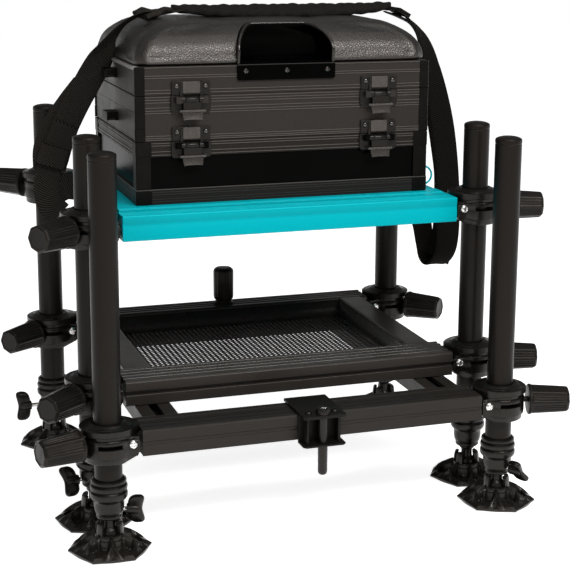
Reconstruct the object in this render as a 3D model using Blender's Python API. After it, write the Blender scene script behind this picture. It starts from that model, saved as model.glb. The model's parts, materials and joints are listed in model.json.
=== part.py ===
"""Match fishing seat box: a cushioned tackle box on a rail frame with six clamped legs, a wire tray and a footplate.

Metres, +Z up. The origin is on the floor under the middle of the object. +X is the sitter's left-to-right axis
as seen from the front, and the front of the box faces -Y.
"""

import math

import bmesh
import bpy
import numpy as np
from mathutils import Matrix, Vector

for old in list(bpy.data.objects):
    bpy.data.objects.remove(old)

# Clearances
TOUCH_GAP = 0.0003
SLIDE_GAP = 0.0004

# Legs
LEG_RADIUS = 0.018
LEG_FACETS = 16
STEM_FACETS = 14
REAR_LEG_Y = 0.2021
MID_TO_REAR = 0.328
FRONT_TO_MID = 0.0995
LEG_TOP = 0.5235
CAP_RISE = 0.005
LEG_BOTTOM = 0.0475
LOWER_BODY_RADIUS = 0.021
COLLAR_RADIUS = 0.0245
COLLAR_BOTTOM = 0.080
COLLAR_TOP = 0.1015
STEM_RADIUS = 0.011
STEM_TOP = 0.230
BORE_TOP = 0.262
# How far each tube stands above or below the common height in its clamps
LEG_RAISE = {
    "rear_left": 0.0044,
    "mid_left": 0.0041,
    "front_left": -0.0029,
    "rear_right": 0.0,
    "mid_right": 0.0013,
    "front_right": -0.0058,
}

# Ball feet
BALL_RADIUS = 0.012
BALL_HEIGHT = 0.0225
NECK_RADIUS = 0.008
FOOT_PETALS = 6
FOOT_TIP_RADIUS = 0.052
FOOT_VALLEY_RADIUS = 0.044
FOOT_EDGE = 0.006
FOOT_SHOULDER = 0.023
HUB_RADIUS = 0.019
HUB_TOP = 0.038
SOCKET_MOUTH = 0.0055

# Wing screws: heading round the leg in degrees, and how far each is backed out
WING_HEIGHT = 0.0105
WING_SHANK_RADIUS = 0.003
WING_SPAN = 0.022
WING_LENGTH = 0.020
WING_THICKNESS = 0.006
WING_HEADING = {
    "rear_left": 180.0,
    "mid_left": 190.0,
    "front_left": -15.0,
    "rear_right": 0.0,
    "mid_right": 60.0,
    "front_right": -60.0,
}
WING_BACKED_OUT = {
    "rear_left": 0.012,
    "mid_left": 0.0,
    "front_left": 0.0,
    "rear_right": 0.0,
    "mid_right": 0.0,
    "front_right": 0.0,
}

# Rails and clamps
RAIL_HEIGHT = 0.034
RAIL_OVERRUN = 0.028
RAIL_END_SETBACK = 0.0395
RAIL_FRONT = 0.028
SEAT_RAIL_TOP = 0.423
SEAT_FRONT_RAIL_DEPTH = 0.078
SEAT_REAR_RAIL_DEPTH = 0.056
SEAT_SIDE_RAIL_WIDTH = 0.046
TRAY_RAIL_TOP = 0.200
TRAY_FRONT_RAIL_DEPTH = 0.061
TRAY_REAR_RAIL_DEPTH = 0.045
TRAY_SIDE_SETBACK = 0.011
TRAY_SIDE_WIDTH = 0.037
TRAY_LIP = 0.006
TRAY_LIP_HEIGHT = 0.003
FOOT_RAIL_DEPTH = 0.056
CLAMP_RADIUS = 0.034
CLAMP_RISE = 0.004
CLAMP_DROP = 0.008
CLAMP_NECK = 0.0035
CLAMP_NECK_RADIUS = 0.0255
CLAMP_ARM_DEPTH = 0.054
CLAMP_SLOT_WIDTH = 0.028
CLAMP_SLOT_HEIGHT = 0.004
BOSS_RADIUS = 0.014
BOSS_REACH = 0.0375
KNOB_SHANK_RADIUS = 0.004
KNOB_RADIUS = 0.0215
KNOB_END_RADIUS = 0.0172
KNOB_BASE = 0.039
KNOB_LENGTH = 0.057
KNOB_FLUTES = 7
KNOB_FLUTE_DEPTH = 0.0014
# Heading of each clamp knob, in degrees turned from straight out towards the front
SEAT_KNOB_TURN = {"rear_left": -45.0, "mid_left": 38.0, "rear_right": -45.0, "mid_right": 17.0}
TRAY_KNOB_TURN = {"rear_left": 40.0, "mid_left": 42.0, "rear_right": 45.0, "mid_right": 17.0}
FOOT_KNOB_TURN = {"front_left": 17.0, "front_right": 17.0}

# Mesh pan in the tray frame
PAN_SHEET = 0.0015
PAN_TOP_DROP = 0.004

# Footplate runners, which hang on T-shaped keels under the tray frame
RUNNER_SETBACK = 0.036
RUNNER_WIDTH = 0.048
RUNNER_HEIGHT = 0.022
KEEL_NECK_WIDTH = 0.011
KEEL_NECK_DROP = 0.0065
KEEL_HEAD_WIDTH = 0.023
KEEL_HEAD_HEIGHT = 0.0065
KEEL_REAR_STOP = 0.010
CROSS_BAR_DEPTH = 0.040
LOCK_RADIUS = 0.016
LOCK_HEIGHT = 0.058
LOCK_CHAMFER = 0.004
LOCK_SHANK_RADIUS = 0.005

# Accessory bracket on the footplate's front rail
BRACKET_WIDTH = 0.059
BRACKET_PLATE = 0.004
BRACKET_OVERHANG = 0.0265
BRACKET_REAR_REACH = 0.0605
BRACKET_WEB_INSET = 0.008
BRACKET_BOLT_RADIUS = 0.0065
BRACKET_BOLT_HEAD_RADIUS = 0.0095
BRACKET_BOLT_HEAD_HEIGHT = 0.008
BRACKET_BOLT_DROP = 0.042

# Box stack
BOX_WIDTH = 0.416
BOX_DEPTH = 0.275
BOX_OFFSET_X = 0.006
BOX_FRONT_SETBACK = 0.065
BASE_HEIGHT = 0.085
MIDDLE_HEIGHT = 0.0607
LID_HEIGHT = 0.038
BOX_WALL = 0.006
BOX_FLOOR = 0.003
PANEL_RECESS = 0.002
PANEL_POST = 0.018
PANEL_RAIL = 0.021
TRAY_CUT_DEPTH = 0.020
BAY_FRONT_BORDER = 0.010
BAY_REAR_BORDER = 0.022
BAY_END_WALL = 0.010
DRAWER_WALL = 0.003
PULL_WIDTH = 0.030
PULL_HEIGHT = 0.011
PULL_REACH = 0.015

# Latches
LATCH_INSET = 0.074
LATCH_WIDTH = 0.052
LATCH_PLATE = 0.003
STRIKE_HEIGHT = 0.018
CATCH_HEIGHT = 0.024
LATCH_BARREL_RADIUS = 0.0042
LATCH_AXIS_DROP = 0.0055
LATCH_AXIS_OUT = 0.0078
LEVER_WIDTH = 0.026
LEVER_FOOT_WIDTH = 0.034
LEVER_LENGTH = 0.029

# Rear hinges
HINGE_INSET = 0.078
HINGE_KNUCKLE = 0.024
HINGE_RADIUS = 0.0045
HINGE_LEAF_HEIGHT = 0.018
HINGE_LEAF = 0.002

# Cushion and hand grip
CUSHION_OVERHANG = 0.002
CUSHION_HEIGHT = 0.0525
CUSHION_CORNER = 0.034
CUSHION_WAIST = 0.003
GRIP_WIDTH = 0.136
GRIP_SHELL = 0.003
GRIP_DEPTH = 0.062
GRIP_TOP = 0.048
GRIP_CORNER = 0.034
GRIP_PROUD = 0.002
GRIP_BAR_HEIGHT = 0.019
GRIP_BAR_THICKNESS = 0.004

# Shoulder strap
STRAP_WIDTH = 0.038
STRAP_THICKNESS = 0.0026
PAD_WIDTH = 0.060
PAD_THICKNESS = 0.014

LEFT, RIGHT = -1, 1
MID_LEG_Y = REAR_LEG_Y - MID_TO_REAR
FRONT_LEG_Y = MID_LEG_Y - FRONT_TO_MID
RAIL_REACH = BOX_WIDTH / 2 + RAIL_OVERRUN
LEG_X = RAIL_REACH + RAIL_END_SETBACK
TRAY_SIDE_INNER = RAIL_REACH - TRAY_SIDE_SETBACK - TRAY_SIDE_WIDTH
RUNNER_CENTRE = RAIL_REACH - RUNNER_SETBACK
LATCH_CENTRE = BOX_WIDTH / 2 - LATCH_INSET
HINGE_CENTRE = BOX_WIDTH / 2 - HINGE_INSET
LEGS = {
    "rear_left": (-LEG_X, REAR_LEG_Y, LEFT),
    "mid_left": (-LEG_X, MID_LEG_Y, LEFT),
    "front_left": (-LEG_X, FRONT_LEG_Y, LEFT),
    "rear_right": (LEG_X, REAR_LEG_Y, RIGHT),
    "mid_right": (LEG_X, MID_LEG_Y, RIGHT),
    "front_right": (LEG_X, FRONT_LEG_Y, RIGHT),
}
SEAT_RAIL_BOTTOM = SEAT_RAIL_TOP - RAIL_HEIGHT
TRAY_RAIL_BOTTOM = TRAY_RAIL_TOP - RAIL_HEIGHT
FOOT_RAIL_TOP = TRAY_RAIL_BOTTOM - TOUCH_GAP
FOOT_RAIL_BOTTOM = FOOT_RAIL_TOP - RAIL_HEIGHT
FRAME_FRONT = MID_LEG_Y - RAIL_FRONT
FRAME_REAR = REAR_LEG_Y + RAIL_FRONT
BORE_RADIUS = STEM_RADIUS + SLIDE_GAP
CLAMP_BORE_RADIUS = LEG_RADIUS + SLIDE_GAP
BOX_LEFT = BOX_OFFSET_X - BOX_WIDTH / 2
BOX_RIGHT = BOX_OFFSET_X + BOX_WIDTH / 2
BOX_FRONT = FRAME_FRONT + BOX_FRONT_SETBACK
BOX_REAR = BOX_FRONT + BOX_DEPTH
BASE_BOTTOM = SEAT_RAIL_TOP + TOUCH_GAP
BASE_TOP = BASE_BOTTOM + BASE_HEIGHT
MIDDLE_BOTTOM = BASE_TOP + TOUCH_GAP
MIDDLE_TOP = MIDDLE_BOTTOM + MIDDLE_HEIGHT
LID_BOTTOM = MIDDLE_TOP + TOUCH_GAP
LID_TOP = LID_BOTTOM + LID_HEIGHT
CUSHION_BOTTOM = LID_TOP + TOUCH_GAP
HINGE_Y = BOX_REAR + HINGE_RADIUS + TOUCH_GAP


# Finishes

def finish(name, colour, roughness, metallic=0.0):
    material = bpy.data.materials.new(name)
    material.use_nodes = True
    shader = material.node_tree.nodes["Principled BSDF"]
    shader.inputs["Base Color"].default_value = (*colour, 1.0)
    shader.inputs["Roughness"].default_value = roughness
    shader.inputs["Metallic"].default_value = metallic
    return material


TURQUOISE = ((0.0, 0.456, 0.545), 0.35, 0.2)
BLACK_ALLOY = ((0.032, 0.029, 0.028), 0.42, 0.5)
BLACK_PLASTIC = ((0.018, 0.016, 0.015), 0.5, 0.0)
BLACK_PANEL = ((0.012, 0.012, 0.013), 0.3, 0.1)
LEATHER = ((0.014, 0.013, 0.013), 0.4, 0.0)
WEBBING = ((0.017, 0.016, 0.015), 0.8, 0.0)


# Shapes

def object_from(bm, name):
    bmesh.ops.remove_doubles(bm, verts=bm.verts, dist=1e-7)
    bmesh.ops.recalc_face_normals(bm, faces=bm.faces)
    mesh = bpy.data.meshes.new(name)
    bm.to_mesh(mesh)
    bm.free()
    item = bpy.data.objects.new(name, mesh)
    bpy.context.collection.objects.link(item)
    return item


def block(name, low, high):
    """A box between two opposite corners."""
    bm = bmesh.new()
    bmesh.ops.create_cube(bm, size=1.0)
    middle = (Vector(low) + Vector(high)) / 2
    size = Vector(high) - Vector(low)
    bmesh.ops.transform(bm, matrix=Matrix.Diagonal((*size, 1.0)), verts=bm.verts)
    bmesh.ops.translate(bm, vec=middle, verts=bm.verts)
    return object_from(bm, name)


def lofted(name, rings):
    """A closed skin over rings of points, each the same count; a ring of one point closes an end."""
    bm = bmesh.new()
    loops = [[bm.verts.new(point) for point in ring] for ring in rings]
    for lower, upper in zip(loops, loops[1:]):
        count = max(len(lower), len(upper))
        for i in range(count):
            corners = [lower[i % len(lower)], lower[(i + 1) % len(lower)]]
            corners += [upper[(i + 1) % len(upper)], upper[i % len(upper)]]
            bm.faces.new(dict.fromkeys(corners))
    for end in (loops[0], loops[-1]):
        if len(end) > 2:
            bm.faces.new(end)
    return object_from(bm, name)


def circle(radius, height, facets):
    if radius == 0:
        return [(0.0, 0.0, height)]
    angles = np.arange(facets) * 2 * math.pi / facets
    return [(radius * math.cos(a), radius * math.sin(a), height) for a in angles]


def turned(name, profile, facets, centre=(0.0, 0.0, 0.0)):
    """A profile of (radius, height) points turned about a vertical axis; it starts and ends on the axis."""
    item = lofted(name, [circle(radius, height, facets) for radius, height in profile])
    item.data.transform(Matrix.Translation(centre))
    return item


def prism(name, outline, start, end, frame):
    """A flat outline of (u, v) points extruded from start to end along the third axis of frame."""
    rings = [[(u, v, w) for u, v in outline] for w in (start, end)]
    item = lofted(name, rings)
    item.data.transform(frame)
    return item


def helper(item):
    item.hide_render = True
    item.display_type = "WIRE"
    return item


def combine(item, operation, others):
    for other in others:
        modifier = item.modifiers.new(f"{operation.lower()}_{other.name}", "BOOLEAN")
        modifier.operation = operation
        modifier.solver = "EXACT"
        modifier.object = helper(other)
    return item


def add(item, *others):
    return combine(item, "UNION", others)


def cut(item, *others):
    return combine(item, "DIFFERENCE", others)


def chamfer(item, width):
    modifier = item.modifiers.new("edge_break", "BEVEL")
    modifier.width = width
    modifier.segments = 1
    modifier.limit_method = "ANGLE"
    return item


def place(item, pivot, look):
    """Move the object's origin to its joint axis, give it its finish and hang it from the floor datum."""
    item.data.transform(Matrix.Translation(-Vector(pivot)))
    item.location = pivot
    item.data.materials.append(finish(item.name, *look))
    item.data.shade_smooth()
    item.data.set_sharp_from_angle(angle=math.radians(32))
    item.parent = DATUM
    return item


DATUM = bpy.data.objects.new("floor_datum", None)
bpy.context.collection.objects.link(DATUM)


# Seat frame: four rails in a ring under the box

def seat_frame():
    ring = block(
        "seat_frame",
        (-RAIL_REACH, FRAME_FRONT, SEAT_RAIL_BOTTOM),
        (RAIL_REACH, FRAME_REAR, SEAT_RAIL_TOP),
    )
    inner = RAIL_REACH - SEAT_SIDE_RAIL_WIDTH
    opening = block(
        "seat_frame_opening",
        (-inner, FRAME_FRONT + SEAT_FRONT_RAIL_DEPTH, SEAT_RAIL_BOTTOM - RAIL_HEIGHT),
        (inner, FRAME_REAR - SEAT_REAR_RAIL_DEPTH, SEAT_RAIL_TOP + RAIL_HEIGHT),
    )
    place(cut(chamfer(ring, 0.0015), opening), (0, 0, SEAT_RAIL_BOTTOM), TURQUOISE)


seat_frame()


# Leg clamps and their knobs

def heading_frame(x, y, z, side, turn):
    """Local X points out of the clamp, turned by this angle towards the front; local Z stays up."""
    angle = math.pi * (side < 0) - side * math.radians(turn)
    return Matrix.Translation((x, y, z)) @ Matrix.Rotation(angle, 4, "Z")


def clamp_solids(name, leg, rail_bottom, rail_top, turn):
    """The solids of one clamp and its cutters: ring, neck, arm to the rail end and knob boss."""
    x, y, side = LEGS[leg]
    low, high = rail_bottom - CLAMP_DROP, rail_top + CLAMP_RISE
    middle = (rail_bottom + rail_top) / 2
    neck_top = high + CLAMP_NECK
    neck_foot = CLAMP_NECK_RADIUS + CLAMP_NECK
    profile = [
        (0, low),
        (CLAMP_RADIUS, low),
        (CLAMP_RADIUS, high),
        (neck_foot, high),
        (CLAMP_NECK_RADIUS, neck_top),
        (0, neck_top),
    ]
    ring = turned(name, profile, LEG_FACETS, (x, y, 0))
    arm_end = side * (RAIL_REACH + TOUCH_GAP)
    half = CLAMP_ARM_DEPTH / 2
    arm = block(
        f"{name}_arm",
        (min(x, arm_end), y - half, rail_bottom - CLAMP_DROP / 2),
        (max(x, arm_end), y + half, rail_top + CLAMP_RISE / 2),
    )
    frame = heading_frame(x, y, middle, side, turn)
    upright = Matrix.Rotation(math.pi / 2, 4, "Y")
    boss = turned(f"{name}_boss", [(0, 0), (BOSS_RADIUS, 0), (BOSS_RADIUS, BOSS_REACH), (0, BOSS_REACH)], 12)
    boss.data.transform(frame @ upright)
    reach = 2 * CLAMP_RADIUS
    bore = turned(
        f"{name}_bore",
        [(0, low - reach), (CLAMP_BORE_RADIUS, low - reach), (CLAMP_BORE_RADIUS, high + reach), (0, high + reach)],
        LEG_FACETS,
        (x, y, 0),
    )
    hole_radius = (KNOB_SHANK_RADIUS + TOUCH_GAP) / math.cos(math.pi / 8)
    hole = turned(f"{name}_hole", [(0, 0), (hole_radius, 0), (hole_radius, reach), (0, reach)], 8)
    hole.data.transform(frame @ upright @ Matrix.Rotation(math.radians(7), 4, "Z"))
    slot = block(
        f"{name}_slot",
        (x - CLAMP_SLOT_WIDTH / 2, y - reach, middle - CLAMP_SLOT_HEIGHT / 2),
        (x + CLAMP_SLOT_WIDTH / 2, y, middle + CLAMP_SLOT_HEIGHT / 2),
    )
    return ring, (arm, boss), (hole, slot, bore)


def clamp(name, leg, rail_bottom, rail_top, turn):
    ring, solids, cutters = clamp_solids(name, leg, rail_bottom, rail_top, turn)
    x, y, side = LEGS[leg]
    place(cut(add(ring, *solids), *cutters), (x, y, rail_bottom), BLACK_PLASTIC)


def knob(name, leg, rail_bottom, rail_top, turn):
    """A fluted, tapered knob on a stud that presses on the leg."""
    x, y, side = LEGS[leg]
    points = 2 * KNOB_FLUTES
    end = KNOB_BASE + KNOB_LENGTH

    def ring(radius, along, depth=0.0):
        angles = np.arange(points) * 2 * math.pi / points
        radii = radius - depth * (np.arange(points) % 2)
        return [(along, r * math.cos(a), r * math.sin(a)) for a, r in zip(angles, radii)]

    tip = CLAMP_BORE_RADIUS
    item = lofted(
        name,
        [
            [(tip, 0, 0)],
            ring(KNOB_SHANK_RADIUS, tip),
            ring(KNOB_SHANK_RADIUS, KNOB_BASE),
            ring(KNOB_RADIUS - KNOB_FLUTE_DEPTH, KNOB_BASE),
            ring(KNOB_RADIUS, KNOB_BASE + KNOB_FLUTE_DEPTH, KNOB_FLUTE_DEPTH / 2),
            ring(KNOB_END_RADIUS, end - KNOB_FLUTE_DEPTH * 2, KNOB_FLUTE_DEPTH),
            ring(KNOB_END_RADIUS - KNOB_FLUTE_DEPTH * 2, end),
            [(end, 0, 0)],
        ],
    )
    middle = (rail_bottom + rail_top) / 2
    item.data.transform(heading_frame(x, y, middle, side, turn))
    place(item, (x, y, middle), BLACK_PLASTIC)


for leg_name, knob_turn in SEAT_KNOB_TURN.items():
    clamp(f"seat_clamp_{leg_name}", leg_name, SEAT_RAIL_BOTTOM, SEAT_RAIL_TOP, knob_turn)
    knob(f"seat_knob_{leg_name}", leg_name, SEAT_RAIL_BOTTOM, SEAT_RAIL_TOP, knob_turn)
for leg_name, knob_turn in TRAY_KNOB_TURN.items():
    clamp(f"tray_clamp_{leg_name}", leg_name, TRAY_RAIL_BOTTOM, TRAY_RAIL_TOP, knob_turn)
    knob(f"tray_knob_{leg_name}", leg_name, TRAY_RAIL_BOTTOM, TRAY_RAIL_TOP, knob_turn)
for leg_name, knob_turn in FOOT_KNOB_TURN.items():
    knob(f"foot_knob_{leg_name}", leg_name, FOOT_RAIL_BOTTOM, FOOT_RAIL_TOP, knob_turn)


# Legs: tube with cap and collar, wing screw, inner stem with ball, mud foot

def leg_tube(leg):
    x, y, side = LEGS[leg]
    rise = LEG_RAISE[leg]
    ring_step = (COLLAR_TOP - COLLAR_BOTTOM) / 4
    profile = [
        (0, BORE_TOP),
        (BORE_RADIUS, BORE_TOP),
        (BORE_RADIUS, LEG_BOTTOM),
        (LOWER_BODY_RADIUS - 0.003, LEG_BOTTOM),
        (LOWER_BODY_RADIUS, LEG_BOTTOM + 0.004),
        (LOWER_BODY_RADIUS, COLLAR_BOTTOM - ring_step / 2),
        (COLLAR_RADIUS, COLLAR_BOTTOM),
        (COLLAR_RADIUS, COLLAR_TOP - ring_step),
        (LEG_RADIUS + 0.002, COLLAR_TOP),
        (LEG_RADIUS, COLLAR_TOP),
        (LEG_RADIUS, LEG_TOP - CAP_RISE),
        (LEG_RADIUS * 0.7, LEG_TOP - CAP_RISE * 0.28),
        (0, LEG_TOP),
    ]
    item = turned(f"leg_{leg}", profile, LEG_FACETS, (x, y, rise))
    hole_radius = (WING_SHANK_RADIUS + TOUCH_GAP) / math.cos(math.pi / 8)
    reach = 2 * COLLAR_RADIUS
    hole = turned(f"leg_{leg}_hole", [(0, 0), (hole_radius, 0), (hole_radius, reach), (0, reach)], 8)
    hole.data.transform(wing_frame(leg))
    place(cut(item, hole), (x, y, LEG_BOTTOM + rise), BLACK_ALLOY)


def wing_frame(leg):
    """Local Z points out along the wing screw, local X is up."""
    x, y, side = LEGS[leg]
    centre = (x, y, LEG_BOTTOM + WING_HEIGHT + LEG_RAISE[leg])
    turn = Matrix.Rotation(math.radians(WING_HEADING[leg]), 4, "Z")
    return Matrix.Translation(centre) @ turn @ Matrix.Rotation(math.pi / 2, 4, "Y")


def wing_screw(leg):
    backed = WING_BACKED_OUT[leg]
    tip = BORE_RADIUS
    root = LOWER_BODY_RADIUS + 0.003 + backed
    hub = 2 * WING_SHANK_RADIUS
    shank = turned(
        f"wing_screw_{leg}",
        [(0, tip), (WING_SHANK_RADIUS, tip), (WING_SHANK_RADIUS, root), (hub, root), (hub, root + hub), (0, root + hub)],
        8,
    )
    half = [(0.18, 0.0), (0.55, 0.18), (1.0, 0.55), (1.0, 0.85), (0.6, 1.0)]
    upper = [(WING_SPAN * u, root + WING_LENGTH * v) for u, v in half]
    lower = [(-u, v) for u, v in reversed(upper)]
    flat = Matrix(((1, 0, 0, 0), (0, 0, 1, 0), (0, 1, 0, 0), (0, 0, 0, 1)))
    blade = prism(f"wing_screw_{leg}_blade", upper + lower, -WING_THICKNESS / 2, WING_THICKNESS / 2, flat)
    frame = wing_frame(leg)
    for piece in (shank, blade):
        piece.data.transform(frame)
    place(add(shank, blade), frame.translation, BLACK_PLASTIC)


def foot_stem(leg):
    x, y, side = LEGS[leg]
    neck_angle = math.asin(NECK_RADIUS / BALL_RADIUS)
    arc = np.linspace(math.pi, neck_angle, 6)[1:]
    profile = [(0, BALL_HEIGHT - BALL_RADIUS)]
    profile += [(BALL_RADIUS * math.sin(a), BALL_HEIGHT + BALL_RADIUS * math.cos(a)) for a in arc]
    shoulder = LEG_BOTTOM - 0.002
    profile += [
        (NECK_RADIUS, shoulder - 0.002),
        (STEM_RADIUS, shoulder),
        (STEM_RADIUS, STEM_TOP - 0.002),
        (STEM_RADIUS - 0.002, STEM_TOP),
        (0, STEM_TOP),
    ]
    item = turned(f"foot_stem_{leg}", profile, STEM_FACETS, (x, y, 0))
    place(item, (x, y, BALL_HEIGHT), BLACK_PLASTIC)


def mud_foot(leg):
    """A domed skirt of petals with a ball socket in its hub; the sole is flat."""
    x, y, side = LEGS[leg]
    points = 4 * FOOT_PETALS
    angles = np.arange(points) * 2 * math.pi / points
    petal = np.abs(np.cos(angles * FOOT_PETALS / 2))

    def skirt(share, height, ridge=0.0):
        radii = share * (FOOT_VALLEY_RADIUS + (FOOT_TIP_RADIUS - FOOT_VALLEY_RADIUS) * petal)
        heights = height + ridge * petal
        return [(r * math.cos(a), r * math.sin(a), z) for r, a, z in zip(radii, angles, heights)]

    # The flats of the socket's facets clear the ball
    rows = 4
    socket = (BALL_RADIUS + SLIDE_GAP) / math.cos(math.pi / points) / math.cos(math.pi / 3 / rows)
    mouth_angle = math.acos(SOCKET_MOUTH / socket)
    arc = np.linspace(mouth_angle, math.pi, rows + 1)
    cup = [circle(socket * math.sin(a), BALL_HEIGHT + socket * math.cos(a), points) for a in arc[:-1]]
    rings = [
        [(0, 0, 0)],
        skirt(0.88, 0.0),
        skirt(1.0, FOOT_EDGE),
        skirt(0.62, FOOT_SHOULDER - 0.003, 0.004),
        circle(HUB_RADIUS + 0.003, FOOT_SHOULDER + 0.006, points),
        circle(HUB_RADIUS, HUB_TOP, points),
        circle(socket + 0.001, HUB_TOP, points),
        *cup,
        [(0, 0, BALL_HEIGHT - socket)],
    ]
    item = lofted(f"mud_foot_{leg}", rings)
    item.data.transform(Matrix.Translation((x, y, 0)))
    place(item, (x, y, BALL_HEIGHT), BLACK_PLASTIC)


for leg_name in LEGS:
    leg_tube(leg_name)
    wing_screw(leg_name)
    foot_stem(leg_name)
    mud_foot(leg_name)


# Tray frame, mesh pan and footplate lock

TRAY_INNER_FRONT = FRAME_FRONT + TRAY_FRONT_RAIL_DEPTH
TRAY_INNER_REAR = FRAME_REAR - TRAY_REAR_RAIL_DEPTH
LOCK_Y = FRAME_REAR - TRAY_REAR_RAIL_DEPTH / 2
RUNNER_REAR = LOCK_Y + CROSS_BAR_DEPTH / 2


def tray_frame():
    side_outer = TRAY_SIDE_INNER + TRAY_SIDE_WIDTH
    ring = block(
        "tray_frame",
        (-RAIL_REACH, FRAME_FRONT, TRAY_RAIL_BOTTOM),
        (RAIL_REACH, FRAME_REAR, TRAY_RAIL_TOP),
    )
    beyond = 2 * RAIL_HEIGHT
    well = block(
        "tray_frame_well",
        (-TRAY_SIDE_INNER, TRAY_INNER_FRONT, TRAY_RAIL_BOTTOM + TRAY_LIP_HEIGHT),
        (TRAY_SIDE_INNER, TRAY_INNER_REAR, TRAY_RAIL_TOP + beyond),
    )
    inner = TRAY_SIDE_INNER - TRAY_LIP
    window = block(
        "tray_frame_window",
        (-inner, TRAY_INNER_FRONT + TRAY_LIP, TRAY_RAIL_BOTTOM - beyond),
        (inner, TRAY_INNER_REAR - TRAY_LIP, TRAY_RAIL_TOP + beyond),
    )
    notches = [
        block(
            f"tray_frame_notch_{name}",
            (min(side * side_outer, side * 2 * LEG_X), TRAY_INNER_FRONT, TRAY_RAIL_BOTTOM - beyond),
            (max(side * side_outer, side * 2 * LEG_X), TRAY_INNER_REAR, TRAY_RAIL_TOP + beyond),
        )
        for name, side in (("left", LEFT), ("right", RIGHT))
    ]
    shank_hole = LOCK_SHANK_RADIUS + TOUCH_GAP
    hole = turned(
        "tray_frame_lock_hole",
        [(0, -beyond), (shank_hole, -beyond), (shank_hole, TRAY_RAIL_TOP + beyond), (0, TRAY_RAIL_TOP + beyond)],
        16,
        (0, LOCK_Y, 0),
    )
    keels = []
    for name, side in (("left", LEFT), ("right", RIGHT)):
        centre = side * RUNNER_CENTRE
        neck_low = TRAY_RAIL_BOTTOM - KEEL_NECK_DROP
        front, rear = TRAY_INNER_FRONT, RUNNER_REAR - KEEL_REAR_STOP
        keels.append(
            block(
                f"tray_frame_keel_neck_{name}",
                (centre - KEEL_NECK_WIDTH / 2, front, neck_low - KEEL_HEAD_HEIGHT / 2),
                (centre + KEEL_NECK_WIDTH / 2, rear, TRAY_RAIL_BOTTOM + RAIL_HEIGHT / 2),
            )
        )
        keels.append(
            block(
                f"tray_frame_keel_head_{name}",
                (centre - KEEL_HEAD_WIDTH / 2, front, neck_low - KEEL_HEAD_HEIGHT),
                (centre + KEEL_HEAD_WIDTH / 2, rear, neck_low),
            )
        )
    cut(chamfer(ring, 0.0015), well, window, *notches)
    place(cut(add(ring, *keels), hole), (0, 0, TRAY_RAIL_BOTTOM), BLACK_ALLOY)


def mesh_tray():
    """A sheet pan that drops into the tray frame and rests on its lip."""
    low = TRAY_RAIL_BOTTOM + TRAY_LIP_HEIGHT + TOUCH_GAP
    high = TRAY_RAIL_TOP - PAN_TOP_DROP
    outer = TRAY_SIDE_INNER - TOUCH_GAP
    front, rear = TRAY_INNER_FRONT + TOUCH_GAP, TRAY_INNER_REAR - TOUCH_GAP
    pan = block("mesh_tray", (-outer, front, low), (outer, rear, high))
    inner = outer - PAN_SHEET
    hollow = block(
        "mesh_tray_hollow",
        (-inner, front + PAN_SHEET, low + PAN_SHEET),
        (inner, rear - PAN_SHEET, high + RAIL_HEIGHT),
    )
    place(cut(pan, hollow), (0, 0, low), BLACK_ALLOY)


def footplate_lock():
    """A knob on a stud that presses on the footplate's cross bar through the rear tray rail."""
    base = TRAY_RAIL_TOP + TOUCH_GAP
    top = base + LOCK_HEIGHT
    foot = FOOT_RAIL_TOP - 2 * SLIDE_GAP + TOUCH_GAP
    profile = [
        (0, foot),
        (LOCK_SHANK_RADIUS, foot),
        (LOCK_SHANK_RADIUS, base),
        (LOCK_RADIUS, base),
        (LOCK_RADIUS, top - LOCK_CHAMFER),
        (LOCK_RADIUS - LOCK_CHAMFER, top),
        (0, top),
    ]
    item = turned("footplate_lock", profile, 16, (0, LOCK_Y, 0))
    place(item, (0, LOCK_Y, base), BLACK_PLASTIC)


tray_frame()
mesh_tray()
footplate_lock()


# Footplate: front rail with two leg clamps, two slotted runners and a rear cross bar

FOOT_RAIL_FRONT = FRONT_LEG_Y - RAIL_FRONT
FOOT_RAIL_REAR = FOOT_RAIL_FRONT + FOOT_RAIL_DEPTH


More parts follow.
